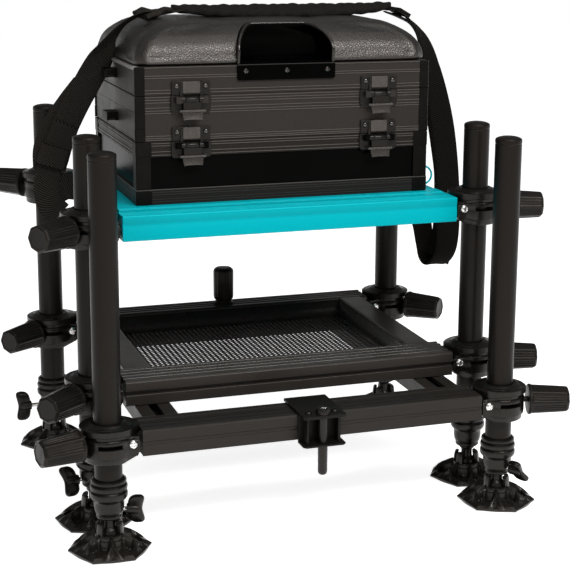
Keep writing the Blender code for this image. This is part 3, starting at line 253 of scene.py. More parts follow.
def ribbed_edge(start, end, notches, width, depth):
    """Points along an edge with trapezoid grooves cut to its right at the given distances from its start."""
    start, end = np.array(start, float), np.array(end, float)
    along = (end - start) / np.linalg.norm(end - start)
    inward = np.array([along[1], -along[0]])
    at = np.asarray(notches, float)[:, None, None] if len(notches) else np.zeros((0, 1, 1))
    steps = np.array([-0.5, -0.3, 0.3, 0.5])[None, :, None] * width
    drops = np.array([0.0, 1.0, 1.0, 0.0])[None, :, None] * depth
    groove = start + (at + steps) * along + drops * inward
    return np.vstack([start[None], groove.reshape(-1, 2)])


FACE_GROOVE = 0.0056


def rail_outline(
    depth, height, top_grooves, face_grooves, width=0.0042, sunk=0.0012, edge=0.0015, groove=0.0060
):
    """A rail's section from its lower front corner: front face, broken edge, top, rear face, underside.

    Depth and height are (start, end) pairs. Top grooves are sunk over a width, and groove is how deep the
    grooves of both faces go.
    """
    (front, rear), (low, high) = depth, height
    face = ribbed_edge((front, low), (front, high - edge), face_grooves, FACE_GROOVE, groove)
    top = ribbed_edge((front + edge, high), (rear - edge, high), np.asarray(top_grooves) - edge, width, sunk)
    from_top = high - edge - low - np.asarray(face_grooves)
    back = ribbed_edge((rear, high - edge), (rear, low), from_top, FACE_GROOVE, groove)
    front_top, rear_top = [(front, high - edge)], [(rear - edge, high)]
    return np.vstack([[(front, low)], face[1:], front_top, top, rear_top, back, [(rear, low)]])


def ring_of_rails(low, high, front, rear, sides):
    """Front and rear rail sections over the full width, with two plain side rails butted between them."""
    start, end = np.max(front[:, 0]), np.min(rear[:, 0])
    inner, outer = sides
    shapes = [extruded(front, low[0], high[0]), extruded(rear, low[0], high[0])]
    for left in (-outer, inner):
        side = rail_outline((left, left + outer - inner), (low[2] + REST_GAP, high[2] - REST_GAP), [], [])
        shapes.append(extruded(side, start, end, "y"))
    return gather(*shapes)


SEAT_GROOVES = [0.0080, 0.0150, 0.0220, 0.0420, 0.0490]
SEAT_CREASE = [0.62 * (seat_high[2] - seat_low[2])]
SEAT_FRONT_DEPTH = 0.078
SEAT_REAR_DEPTH = 0.056
SEAT_SIDE_INNER = 0.190
seat_span = (seat_low[2], seat_high[2])
front_span = (seat_low[1], seat_low[1] + SEAT_FRONT_DEPTH)
rear_span = (seat_high[1] - SEAT_REAR_DEPTH, seat_high[1])
seat_front = rail_outline(front_span, seat_span, SEAT_GROOVES, SEAT_CREASE, groove=0.0007)
seat_rear = rail_outline(rear_span, seat_span, SEAT_GROOVES[:3], SEAT_CREASE, groove=0.0007)
seat_rails = ring_of_rails(seat_low, seat_high, seat_front, seat_rear, (SEAT_SIDE_INNER, RAIL_REACH))
piece("seat_frame_rails", seat_rails, turquoise_coat, "frame", ["seat_frame"], 0.0009)

# Leg clamps
# Moulded black nylon clamps, one on each rail end: a round flange with a raised neck, a waisted body with a
# relief slot, and a stub that is bolted into the rail with a silver cross-head screw.
LEG_RADIUS = 0.018
LEG_X = 0.2755
LEG_Y = {"rear": 0.2021, "mid": -0.1259, "front": -0.2254}
SIDES = {"left": -1, "right": 1}
CLAMP_RADIUS = 0.0362
CLAMP_STUB = 0.0391
CLAMP_HALF_STUB = 0.0276
SLOT_HALF_ANGLE = 0.46
SLOT_LOW, SLOT_HIGH = -0.0205, -0.0147
SLOT_DEPTH = 0.0110
SCREW_IN = 0.0275
SCREW_DROP = 0.0172


def moulded(name, colour, roughness, grain=420.0, strength=0.25, gloss=0.35):
    """Moulded nylon: near black with a faint warm mottle, scuffed sheen and a fine spark-eroded texture."""
    finish, tree, shader = new_finish(name, roughness, gloss)
    mottle = noise(tree, 45.0, 6.0)
    graded(tree, shader, "Base Color", mottle, (0.3, shaded(colour, 0.72)), (0.72, shaded(colour, 1.35)))
    scuff = noise(tree, 120.0, 4.0, (1, 1, 0.35))
    graded(tree, shader, "Roughness", scuff, (0.35, grey(roughness - 0.08)), (0.75, grey(roughness + 0.12)))
    bump(tree, shader, noise(tree, grain, 3.0), strength, 0.0004)
    return finish


black_nylon = moulded("black_nylon", (0.0052, 0.0043, 0.0036), 0.32, gloss=0.27)
bright_steel, tree, shader = new_finish("bright_steel", 0.24, 0.5, 1.0)
turning = noise(tree, 700.0, 3.0)
graded(tree, shader, "Base Color", turning, (0.3, (0.60, 0.59, 0.57)), (0.7, (0.80, 0.79, 0.77)))
bump(tree, shader, turning, 0.12, 0.0002)


def polar(radius, angle, height):
    """Points (r cos t, r sin t, h), with the three spread over one grid."""
    r, t, h = np.broadcast_arrays(radius, angle, height)
    return np.stack([r * np.cos(t), r * np.sin(t), h], -1)


def round_angles(count):
    """Even angles round one turn, as a single row."""
    return np.linspace(0, 2 * math.pi, count, endpoint=False)[None]


def turned(profile, facets):
    """A profile of (radius, height) turned about Z: (r cos t, r sin t, h)."""
    outline = np.asarray(profile, float)
    return grid_skin(polar(outline[:, :1], round_angles(facets), outline[:, 1:]))


def turned_ring(profile, facets):
    """A closed profile turned about Z, which makes a ring."""
    points, _ = turned(profile, facets)
    return grid_skin(points.reshape(len(profile), facets, 3), wrap_rows=True)


def unit(vectors):
    """Each row v as v / |v|."""
    return vectors / np.linalg.norm(vectors, axis=1, keepdims=True)


def clamp_outline(count=112):
    """A clamp in plan about its leg: a circle with a square stub towards -X, as points, normals, angles."""
    angle = np.linspace(-math.pi, math.pi, count, endpoint=False)
    across, ahead = np.sin(angle), np.cos(angle)
    end_reach = CLAMP_STUB / np.maximum(-ahead, 1e-6)
    reach = np.minimum(end_reach, CLAMP_HALF_STUB / np.maximum(np.abs(across), 1e-6))
    stub = np.where((ahead < 0) & (reach > CLAMP_RADIUS), reach, CLAMP_RADIUS)
    points = np.column_stack([ahead, across]) * stub[:, None]
    points = (np.roll(points, 1, 0) + 2 * points + np.roll(points, -1, 0)) / 4
    tangent = np.roll(points, -1, 0) - np.roll(points, 1, 0)
    normal = np.column_stack([tangent[:, 1], -tangent[:, 0]])
    return points, unit(normal), angle


def clamp_body(slot_heading):
    """The plan drawn in by an inset that changes with height: flange, waist, body, lower ring and leg bore.

    Heights are from the rail's top. The waist dips towards the stub, the stub's underside slants up to the
    rail, and within the slot's width and height the wall is pushed 11 mm inwards.
    """
    outline, normal, angle = clamp_outline()
    wall = np.array(
        [
            (0.0010, 0.0043), (0.0, 0.0036), (0.0, -0.0030), (0.0010, -0.0040), (0.0034, -0.0046),
            (0.0040, -0.0082), (0.0026, -0.0092), (0.0020, -0.0102), (0.0020, -0.0146), (0.0021, -0.0149),
            (0.0021, -0.0203), (0.0020, -0.0206), (0.0020, -0.0290), (0.0024, -0.0330), (0.0042, -0.0342),
            (0.0046, -0.0350), (0.0046, -0.0398), (0.0060, -0.0414),
        ]
    )
    inset, height = wall[:, :1], np.repeat(wall[:, 1:], len(angle), axis=1)
    from_rail = math.pi - np.abs(angle)
    around = np.column_stack([np.cos(angle), np.sin(angle)])
    flange = around * (CLAMP_RADIUS + 0.0040 * np.exp(-((from_rail / 0.5) ** 2)))[:, None]
    plan = np.where((wall[:, 1] > -0.0043)[:, None, None], flange[None], outline[None])
    rows = plan - normal[None] * inset[:, :, None]
    towards_rail = np.clip((-rows[..., 0] - 0.014) / 0.024, 0, 1)
    height = height - 0.0034 * np.sin(towards_rail * math.pi / 2) * ((height < -0.002) & (height > -0.011))
    height = height + 0.0100 * towards_rail**1.5 * np.clip((-0.029 - height) / 0.006, 0, 1)
    away = (angle - slot_heading + math.pi) % (2 * math.pi) - math.pi
    level = wall[:, 1:]
    in_slot = (np.abs(away) < SLOT_HALF_ANGLE)[None] & (level < SLOT_HIGH) & (level > SLOT_LOW)
    rows = rows - normal[None] * np.where(in_slot, SLOT_DEPTH, 0.0)[..., None]
    grid = np.concatenate([rows, height[..., None]], axis=-1)
    bore_radius = LEG_RADIUS + 0.0005
    ends = [np.column_stack([around * bore_radius, z])[None] for z in (height[-1], height[0])]
    body = grid_skin(np.concatenate([grid, *ends]), wrap_rows=True)
    neck = turned_ring(
        [
            (bore_radius, 0.0036), (0.0304, 0.0036), (0.0298, 0.0050), (0.0276, 0.0056), (0.0262, 0.0064),
            (0.0240, 0.0078), (0.0222, 0.0086), (0.0208, 0.0084), (0.0202, 0.0074), (bore_radius, 0.0072),
        ],
        72,
    )
    return gather(body, neck)


def screw_head(radius=0.0058, rise=0.0026):
    """A pan head with a cross recess: h(r) = rise (1 - (r/R)^4), less 1.1 mm inside the cross."""
    radii = np.concatenate([[0.0], np.linspace(0.06, 1.0, 14)])[:, None] * radius
    angle = round_angles(48)
    narrow = np.minimum(np.abs(radii * np.cos(angle)), np.abs(radii * np.sin(angle))) < radius * 0.15
    dome = rise * (1 - (radii / radius) ** 4) + 0.0004
    top = polar(radii, angle, np.where(narrow & (radii < radius * 0.60), dome - 0.0011, dome))
    rows = [top, polar(radius, angle, -0.001), polar(0.0, angle, -0.001)]
    return grid_skin(np.concatenate(rows))


def place_at(x, y, z):
    """A move to a point."""
    return Matrix.Translation((x, y, z))


def turn_about(axis, degrees):
    """A turn about an axis through the origin."""
    return Matrix.Rotation(math.radians(degrees), 4, axis)


def leg_sign(leg):
    """-1 for a leg on the left such as rear_left, 1 for one on the right."""
    return SIDES[leg.split("_")[1]]


def leg_spot(leg, height):
    """A move to the axis of a leg, at a height."""
    return place_at(leg_sign(leg) * LEG_X, LEG_Y[leg.split("_")[0]], height)


def dressed_clamp(name, leg, top, body, nodes):
    """A clamp whose stub points to its rail's end, and the screw on the stub's front face."""
    sign = leg_sign(leg)
    slot_heading = sign * (0.10 - math.pi / 2)
    facing = leg_spot(leg, top) @ turn_about("Z", 180 * (sign < 0))
    shape = moved(clamp_body(slot_heading), facing)
    piece(f"{name}_{leg}", shape, black_nylon, body, nodes, crease=44)
    spot = place_at(-sign * SCREW_IN, 0.0010 - CLAMP_HALF_STUB, -SCREW_DROP)
    screw = moved(screw_head(), leg_spot(leg, top) @ spot @ turn_about("X", 90))
    piece(f"{name}_screw_{leg}", screw, bright_steel, body, crease=30)


SEAT_TOP = seat_high[2]
TRAY_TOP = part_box("tray_frame")[1][2]
FOOT_DROP = 0.0343
FOOT_TOP = TRAY_TOP - FOOT_DROP
for leg in ("rear_left", "mid_left", "rear_right", "mid_right"):
    dressed_clamp("seat_clamp_body", leg, SEAT_TOP, "frame", [f"seat_clamp_{leg}"])
    dressed_clamp("tray_clamp_body", leg, TRAY_TOP, "tray", [f"tray_clamp_{leg}"])

# Clamp knobs
# Tapered hand knobs moulded round a steel stud that presses on the leg. Eight flats, six of them with fine
# grip lines, a rounded lip at the clamp end and a chamfered outer end with a shallow dish.
KNOB_HEADING = {
    "seat": {"rear_left": -45.0, "mid_left": 38.0, "rear_right": -45.0, "mid_right": 17.0},
    "tray": {"rear_left": 40.0, "mid_left": 42.0, "rear_right": 45.0, "mid_right": 17.0},
    "foot": {"front_left": 17.0, "front_right": 17.0},
}
KNOB_DROP = 0.017
KNOB_TOP = {"seat": SEAT_TOP, "tray": TRAY_TOP, "foot": FOOT_TOP}
knob_grip = moulded("knob_grip", (0.0088, 0.0073, 0.0062), 0.36, 620.0, 0.20, 0.17)


def knob_shape():
    """An eight-sided taper: r = R cos(pi/8) / cos(d) at an angle d from the middle of a flat, corners eased.

    Three grip grooves 0.8 mm deep run along six of the flats and end before the lip and the outer bevel.
    """
    station = np.array(
        [
            (0.0390, 0.0), (0.0390, 0.0160), (0.0392, 0.0198), (0.0398, 0.0208), (0.0412, 0.0214),
            (0.0428, 0.0215), (0.0438, 0.0214), (0.0446, 0.0213), (0.0456, 0.0212), (0.0560, 0.0206),
            (0.0660, 0.0201), (0.0760, 0.0196), (0.0860, 0.0190), (0.0916, 0.0186), (0.0922, 0.0186),
            (0.0940, 0.0178), (0.0954, 0.0162), (0.0960, 0.0150), (0.0958, 0.0136), (0.0952, 0.0130),
            (0.0951, 0.0060), (0.0951, 0.0),
        ]
    )
    along, radius = station[:, :1], station[:, 1:]
    angle = round_angles(320)
    facet = (angle / (math.pi / 4)) % 1.0
    number = np.floor(angle / (math.pi / 4))
    flat = math.cos(math.pi / 8) / np.cos((facet - 0.5) * math.pi / 4)
    sided = np.where(along > 0.0436, np.minimum(flat * 1.004, 0.992), 1.0)
    grooved = (along > 0.0450) & (along < 0.0920) & (number != 2) & (number != 6)
    lines = sum(np.exp(-(((facet - spot) / 0.055) ** 2)) for spot in (0.26, 0.5, 0.74))
    r = radius * sided - 0.0008 * lines * grooved
    grid = np.roll(polar(r, angle, along), 1, axis=-1)
    stud = [(0.0, 0.0186), (0.0040, 0.0186), (0.0040, 0.0400), (0.0, 0.0400)]
    return gather(grid_skin(grid), moved(turned(stud, 20), turn_about("Y", 90)))


for group, headings in KNOB_HEADING.items():
    for leg, heading in headings.items():
        sign = leg_sign(leg)
        facing = turn_about("Z", 180 * (sign < 0) - sign * heading)
        place = leg_spot(leg, KNOB_TOP[group] - KNOB_DROP) @ facing
        body = f"{group}_knob_{leg}"
        piece(
            f"{body}_grip", moved(knob_shape(), place), knob_grip, body, [body], crease=26
        )

# Telescopic legs
# Black anodised 36 mm alloy tube with a domed plug in the top and a moulded, ringed collar at the foot end.
# The collar holds the inner stem and takes a wing screw from the side.
LEG_RISE = {
    "rear_left": 0.0044, "mid_left": 0.0041, "front_left": -0.0029,
    "rear_right": 0.0, "mid_right": 0.0013, "front_right": -0.0058,
}
black_tube = coated("black_tube", (0.0080, 0.0065, 0.0054), 0.34, 0.10, 1100.0, 0.13, 0.12)


def tube_profile():
    """Tube wall from the collar's mouth up to the plug, the plug's rim groove and its low dome."""
    dome = np.linspace(0.0, 1.0, 9) * math.pi / 2
    plug = np.column_stack([LEG_RADIUS * np.cos(dome), 0.5185 + 0.0050 * np.sin(dome)])
    shaft = [(0.0, 0.0900), (0.0172, 0.0900), (LEG_RADIUS, 0.0900), (LEG_RADIUS, 0.5120)]
    rim = [(0.0176, 0.5126), (0.0176, 0.5132), (0.0181, 0.5140), (0.0182, 0.5170)]
    return np.vstack([shaft, rim, plug])


COLLAR_PROFILE = [
    (0.0114, 0.0475), (0.0146, 0.0475), (0.0158, 0.0480), (0.0166, 0.0492), (0.0168, 0.0510),
    (0.0162, 0.0524), (0.0164, 0.0532), (0.0180, 0.0552), (0.0190, 0.0590), (0.0196, 0.0650),
    (0.0196, 0.0700), (0.0204, 0.0722), (0.0224, 0.0742), (0.0240, 0.0766), (0.0245, 0.0800),
    (0.0240, 0.0828), (0.0224, 0.0842), (0.0218, 0.0850), (0.0224, 0.0860), (0.0238, 0.0872),
    (0.0243, 0.0898), (0.0238, 0.0922), (0.0222, 0.0936), (0.0214, 0.0942), (0.0218, 0.0952),
    (0.0228, 0.0962), (0.0230, 0.0986), (0.0222, 0.1002), (0.0204, 0.1010), (0.0198, 0.1015),
    (0.0190, 0.1008), (0.0188, 0.0960), (0.0181, 0.0950), (0.0181, 0.0900), (0.0114, 0.0900),
]
for leg, rise in LEG_RISE.items():
    body = f"leg_{leg}"
    shaft = moved(turned(tube_profile(), 72), leg_spot(leg, rise))
    piece(f"leg_tube_{leg}", shaft, black_tube, body, [body], crease=30)
    collar = moved(turned_ring(COLLAR_PROFILE, 72), leg_spot(leg, rise))
    piece(f"leg_collar_{leg}", collar, black_nylon, body, crease=34)

# Wing screws
# Short moulded wing heads on a steel thread, one through each collar. The rear left one is backed out and
# shows its thread.
WING_HEIGHT = 0.058
WING_STAND = 0.0235
THREAD_START, THREAD_END = 0.0118, 0.0245
WING_OUT = {"rear_left": 0.012}
WING_HEADING_ROLL = {
    "rear_left": (180.0, 8.0), "mid_left": (190.0, 40.0), "front_left": (-15.0, 12.0),
    "rear_right": (0.0, 20.0), "mid_right": (60.0, -40.0), "front_right": (-60.0, 35.0),
}


def rounded_power(value, power):
    """|v|^p with the sign of v; of a cosine and a sine it makes a circle squarer."""
    return np.sign(value) * np.abs(value) ** power


def wing_shape(backed):
    """A paddle: at each u across it a rounded section between v = 3 u^2 and v = 19 + 6 |u|^1.5 mm.

    It closes at the tips by sqrt(1 - u^6) and has a waist at the hub; v points away from the leg.
    """
    u = np.linspace(-1, 1, 41)[:, None]
    close = np.sqrt(np.clip(1 - np.abs(u) ** 6, 0, 1))
    inner = 0.0030 * u**2
    outer = 0.0190 + 0.0060 * np.abs(u) ** 1.5
    a = round_angles(24)
    v = (inner + outer) / 2 + (outer - inner) / 2 * close * rounded_power(np.cos(a), 0.6)
    w = 0.0050 * close**0.5 * (1 - 0.30 * np.exp(-((u / 0.45) ** 2))) * rounded_power(np.sin(a), 0.8)
    w = w + 0.0030 * u**2 * np.sign(u)
    grid = np.stack([np.broadcast_to(0.0222 * u, v.shape), w, v], -1)
    base = [(0.0, -0.0010), (0.0066, -0.0010), (0.0074, 0.0010)]
    hub = turned([*base, (0.0070, 0.0120), (0.0052, 0.0160), (0.0, 0.0170)], 28)
    return moved(gather(grid_skin(grid), hub), place_at(0, 0, WING_STAND + backed))


def thread_shape(start, end, radius=0.0030, pitch=0.0012):
    """A rod whose radius is R - 0.35 mm |2 frac(z / pitch - t / 2 pi) - 1|, which is a screw thread."""
    height = np.arange(start, end, pitch / 6)[:, None]
    angle = round_angles(24)
    phase = (height / pitch - angle / (2 * math.pi)) % 1.0
    r = radius - 0.00035 * np.abs(2 * phase - 1)
    return loft(polar(r, angle, height))


for leg, rise in LEG_RISE.items():
    heading, roll = WING_HEADING_ROLL[leg]
    facing = turn_about("Z", heading) @ turn_about("Y", 90) @ turn_about("Z", roll)
    place = leg_spot(leg, WING_HEIGHT + rise) @ facing
    backed = WING_OUT.get(leg, 0.0)
    body = f"wing_{leg}"
    wing = moved(wing_shape(backed), place)
    piece(f"wing_head_{leg}", wing, black_nylon, body, [f"wing_screw_{leg}"])
    thread = moved(thread_shape(THREAD_START, THREAD_END + backed), place)
    piece(f"wing_thread_{leg}", thread, bright_steel, body, crease=60)

# Stems and mud feet
# A black stem slides in each leg and ends in a neck and a ball. The ball snaps into a moulded foot whose six
# petals have raised ribs with hollow pockets between them.
foot_nylon = moulded("foot_nylon", (0.0085, 0.0070, 0.0059), 0.30, gloss=0.34)
BALL_RADIUS = 0.0120
BALL_HEIGHT = 0.0225
CUP_RADIUS = 0.0126
HUB_RADIUS = 0.0196
FOOT_FLAT = 0.0482
FOOT_TURN = {
    "rear_left": 8.0, "mid_left": -17.0, "front_left": -5.0,
    "rear_right": 5.0, "mid_right": -8.0, "front_right": -25.0,
}


def stem_profile():
    """Ball of 12 mm radius, neck, shoulder and the sliding rod."""
    arc = np.linspace(math.pi, 0.73, 15)
    ball = np.column_stack([BALL_RADIUS * np.sin(arc), BALL_HEIGHT + BALL_RADIUS * np.cos(arc)])
    neck = [(0.0078, 0.0335), (0.0076, 0.0400), (0.0082, 0.0430), (0.0104, 0.0446)]
    rod = [(0.0110, 0.0460), (0.0110, 0.2280), (0.0100, 0.2300), (0.0, 0.2300)]
    return np.vstack([ball, neck, rod])


def foot_shape():
    """Height over a six-sided plan with its edge at r = 48.2 mm / cos d, an angle d from a side's middle.

    The dome falls from the hub to the edge. A round ridge of 7 mm runs out to the middle of each side and
    forks at 0.42 of the way; between the ridges a pocket is sunk 9 mm, and its outer lip slopes down.
    """
    angle = round_angles(216)
    d = (angle % (math.pi / 3)) - math.pi / 6
    rim = FOOT_FLAT / np.cos(d) * (1 - 0.02 * np.cos(6 * angle))
    share = np.linspace(0.0, 1.0, 40)[:, None]
    r = HUB_RADIUS + (rim - HUB_RADIUS) * share
    dome = 0.0180 - 0.0128 * share
    across = np.abs(d) * r
    fork = 0.0105 * np.clip((share - 0.42) / 0.58, 0, 1)
    ridge = np.exp(-(((across - fork) / (0.0026 + 0.0006 * share)) ** 2))
    beyond = np.clip((across - fork - 0.0040) / 0.0016, 0, 1)
    tip = np.abs(d) / (math.pi / 6)
    reach = np.clip((share - 0.05) / 0.06, 0, 1) * np.clip((0.54 + 0.16 * tip - share) / 0.05, 0, 1)
    h = dome + 0.0074 * ridge * (1 - share**2.5) - 0.0090 * beyond * reach * (1 - 0.35 * share)
    h = h - 0.0016 * np.clip(share - 0.85, 0, 1) / 0.15 * tip
    skirt = polar(r, angle, h)
    mouth = np.linspace(1.50, math.pi, 9)
    cup = [(CUP_RADIUS * math.sin(a), BALL_HEIGHT + CUP_RADIUS * math.cos(a)) for a in mouth]
    under = [(0.0, 0.0), (rim * 0.90, 0.0), (rim * 0.99, 0.0014), (rim, 0.0036)]
    hub = [(0.0192, 0.0215), (0.0184, 0.0232), (0.0150, 0.0238), *cup]
    rows = [polar(radius, angle, z) for radius, z in under]
    rows += [skirt[::-1], *[polar(radius, angle, z) for radius, z in hub]]
    body = grid_skin(np.concatenate(rows))
    return gather(body, *[claw_shape(turn) for turn in np.radians([12.0, 78.0, 158.0, 215.0, 330.0])])


CLAW_ROWS = [
    (0.0200, 0.0186, 0.0138, 1.0), (0.0300, 0.0182, 0.0132, 1.0), (0.0350, 0.0176, 0.0124, 1.0),
    (0.0376, 0.0166, 0.0116, 0.9), (0.0388, 0.0150, 0.0120, 0.7),
]


def claw_shape(turn, half=0.30):
    """A prong of the ball socket: an arc of the hub between two radii that close in towards the top."""
    sweep = np.linspace(-half, half, 9)
    rows = []
    for height, outer, inner, narrow in CLAW_ROWS:
        a = turn + sweep * narrow
        edge = np.column_stack([outer * np.cos(a), outer * np.sin(a)])
        back = np.column_stack([inner * np.cos(a), inner * np.sin(a)])[::-1]
        rows.append(np.insert(np.vstack([edge, back]), 2, height, axis=1))
    return loft(np.stack(rows))


for leg in LEG_RISE:
    place = leg_spot(leg, 0.0)
    stem = moved(turned(stem_profile(), 48), place)
    node = f"foot_stem_{leg}"
    piece(f"stem_rod_{leg}", stem, black_nylon, f"stem_{leg}", [node], crease=40)
    foot = moved(foot_shape(), place @ turn_about("Z", FOOT_TURN[leg]))
    node = f"mud_foot_{leg}"
    piece(f"foot_skirt_{leg}", foot, foot_nylon, f"foot_{leg}", [node], crease=24)

# Tray frame
# Black anodised extrusions joined in a ring below the seat: ribbed front and rear rails with a groove along
# each face and two flat side members, with T-shaped keels under the sides that carry the footplate.
tray_low, tray_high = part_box("tray_frame")
RAIL_HEIGHT = 0.034
TRAY_BOTTOM = TRAY_TOP - RAIL_HEIGHT
TRAY_FRONT_DEPTH = 0.061
TRAY_REAR_DEPTH = 0.045
TRAY_SIDES = (0.188, 0.225)
PAN_LIP = 0.006
RUNNER_X = 0.200
black_rail = coated("black_rail", (0.0215, 0.0185, 0.0162), 0.32, 0.03, 1000.0, 0.32, 0.02)


def tray_ring():
    """The ring of rails, a lip inside it for the pan and the two keels."""
    start, end = tray_low[1] + TRAY_FRONT_DEPTH, tray_high[1] - TRAY_REAR_DEPTH
    height = (TRAY_BOTTOM, TRAY_TOP)
    ribs = {"width": 0.0062, "sunk": 0.0018, "edge": 0.0025}
    front = rail_outline((tray_low[1], start), height, [0.014, 0.0265, 0.039, 0.0515], [0.0170], **ribs)
    rear = rail_outline((end, tray_high[1]), height, [0.012, 0.0225, 0.033], [0.0170], **ribs)
    rails = ring_of_rails((tray_low[0], tray_low[1], TRAY_BOTTOM), tray_high, front, rear, TRAY_SIDES)
    inner, lip = TRAY_SIDES[0], TRAY_SIDES[0] - PAN_LIP
    spans = [((-inner, start), (-lip, end)), ((lip, start), (inner, end))]
    spans += [((-inner, start), (inner, start + PAN_LIP)), ((-inner, end - PAN_LIP), (inner, end))]
    lips = [box_shape((*low, TRAY_BOTTOM + 0.0004), (*high, TRAY_BOTTOM + 0.003)) for low, high in spans]
    keels = []
    for centre in (-RUNNER_X, RUNNER_X):
        for half, under, over in ((0.0055, -0.007, 0.004), (0.0115, -0.013, -0.0065)):
            near = (centre - half, start, TRAY_BOTTOM + under)
            keels.append(box_shape(near, (centre + half, tray_high[1] - 0.0125, TRAY_BOTTOM + over)))
    return gather(rails, *lips, *keels)


piece("tray_frame_rails", tray_ring(), black_rail, "tray", ["tray_frame"], 0.0008)

# Mesh pan
# One sheet of punched alloy folded up into a shallow pan that drops into the tray frame. The floor is
# punched with square holes in straight rows, and its gloss shows the white surroundings.
pan_low, pan_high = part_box("mesh_tray")
HOLE_PITCH = 0.0074


def punched_floor(low, high, height):
    """Square cells turned into frames: a cell's corners joined to those of a square hole in its middle."""
    columns = int((high[0] - low[0]) / HOLE_PITCH)
    rows = int((high[1] - low[1]) / HOLE_PITCH)
    pitch = np.array([(high[0] - low[0]) / columns, (high[1] - low[1]) / rows])
    i, j = np.meshgrid(np.arange(columns), np.arange(rows), indexing="ij")
    corner = np.stack([i, j], -1).reshape(-1, 1, 2)
    square = np.array([(0, 0), (0.5, 0), (1, 0), (1, 0.5), (1, 1), (0.5, 1), (0, 1), (0, 0.5)])
    hole = [(-0.9, -0.9), (0, -1), (0.9, -0.9), (1, 0), (0.9, 0.9), (0, 1), (-0.9, 0.9), (-1, 0)]
    hole = 0.5 + 0.25 * np.array(hole)
    flat = np.concatenate([corner + square, corner + hole], axis=1) * pitch + np.array([low[0], low[1]])
    points = np.concatenate([flat, np.full((*flat.shape[:2], 1), height)], -1).reshape(-1, 3)
    k = np.arange(8)
    cell = np.stack([k, (k + 1) % 8, (k + 1) % 8 + 8, k + 8], -1)
    faces = (np.arange(len(corner))[:, None, None] * 16 + cell).reshape(-1, 4)
    return points, faces.tolist()


def plan_ring(low, high, height):
    """The four corners of a rectangle at one height."""
    return [(x[0], y[1], height) for x, y in ((low, low), (high, low), (high, high), (low, high))]


PAN_FLOOR = pan_low[2] + 0.0012
PAN_BORDER = 0.006
floor_low = np.array(pan_low[:2]) + PAN_BORDER
floor_high = np.array(pan_high[:2]) - PAN_BORDER
border = [plan_ring(pan_low, pan_high, PAN_FLOOR), plan_ring(floor_low, floor_high, PAN_FLOOR)]
walls = [border[0], plan_ring(pan_low, pan_high, pan_high[2])]
strips = [grid_skin(np.array(rings)) for rings in (border, walls)]
pan = gather(punched_floor(floor_low, floor_high, PAN_FLOOR), *strips)
black_mesh = coated("black_mesh", (0.024, 0.021, 0.020), 0.28, 0.10, 1300.0, 0.17)
pan_piece = piece("mesh_pan", pan, black_mesh, "tray", ["mesh_tray"], crease=30)
sheet_metal = pan_piece.modifiers.new("sheet_metal", "SOLIDIFY")
sheet_metal.thickness = 0.0006
sheet_metal.offset = 0.0

# Footplate lock
# A tall moulded knob on a stud through the rear tray rail. Screwed down, it presses on the
# footplate's cross bar.
lock_low, lock_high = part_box("footplate_lock")


def lock_shape():
    """A knob with twelve flutes, R (1 - 0.05 max(0, cos 12 t)), a chamfered top and a washer under it."""
    base, top = TRAY_TOP + REST_GAP, lock_high[2]
    station = np.array(
        [
            (0.0, base), (0.0155, base), (0.0155, base + 0.0022), (0.0128, base + 0.0030),
            (0.0128, base + 0.0060), (0.0150, base + 0.0080), (0.0158, base + 0.0120),
            (0.0160, top - 0.0060), (0.0152, top - 0.0032), (0.0122, top - 0.0004), (0.0080, top),
            (0.0, top),
        ]
    )
    angle = round_angles(96)
    fluted = ((station[:, 1] > base + 0.007) & (station[:, 1] < top - 0.002)).astype(float)[:, None]
    r = station[:, :1] * (1 - 0.05 * fluted * np.clip(np.cos(12 * angle), 0, 1))
    grid = polar(r, angle, station[:, 1:])
    end, root = lock_low[2], base + 0.001
    stud = turned([(0.0, end), (0.0048, end), (0.0048, root), (0.0, root)], 24)
    return gather(grid_skin(grid), stud)


lock_place = place_at((lock_low[0] + lock_high[0]) / 2, (lock_low[1] + lock_high[1]) / 2, 0.0)
lock = moved(lock_shape(), lock_place)
piece("footplate_lock_knob", lock, knob_grip, "footplate_lock", ["footplate_lock"])

# Footplate
# A black extrusion with a leg clamp on each end, two slotted runners that hang on the tray's keels and a
# cross bar at the back. It draws out to the front.
foot_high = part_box("footplate")[1]
FOOT_DEPTH = 0.056
FOOT_FRONT = LEG_Y["front"] - FOOT_DEPTH / 2
FOOT_BOTTOM = FOOT_TOP - RAIL_HEIGHT


def footplate_shape():
    """Front rail with a groove along each face, C-section runners open along the top, and the cross bar."""
    start, rear = FOOT_FRONT + FOOT_DEPTH, foot_high[1]
    ribs = {"width": 0.003, "sunk": 0.0006, "edge": 0.0020, "groove": 0.0016}
    height = (FOOT_BOTTOM, FOOT_TOP)
    front = rail_outline((FOOT_FRONT, start), height, [0.015, 0.028, 0.041], [0.0165], **ribs)
    shapes = [extruded(front, -RAIL_REACH, RAIL_REACH)]
    high, low = FOOT_TOP - 0.0004, FOOT_TOP - 0.0224
    neck, head = TRAY_BOTTOM - 0.0061, TRAY_BOTTOM - 0.0134
    for centre in (-RUNNER_X, RUNNER_X):
        half = [(0.0119, head), (0.0119, neck), (0.0059, neck), (0.0059, high), (0.024, high), (0.024, low)]
        section = np.array([(-x, z) for x, z in half[::-1]] + half)
        shapes.append(extruded(section + [centre, 0], start, rear, "y"))
    shapes.append(box_shape((-0.177, rear - 0.040, low + 0.0015), (0.177, rear - 0.0015, high - 0.0004)))
    return gather(*shapes)


foot_rail = coated("foot_rail", (0.0180, 0.0155, 0.0136), 0.36, 0.05, 1000.0, 0.18, 0.03)
piece("footplate_rails", footplate_shape(), foot_rail, "footplate", ["footplate"], 0.0008)
for leg in ("front_left", "front_right"):
    dressed_clamp("foot_clamp_body", leg, FOOT_TOP, "footplate", [])

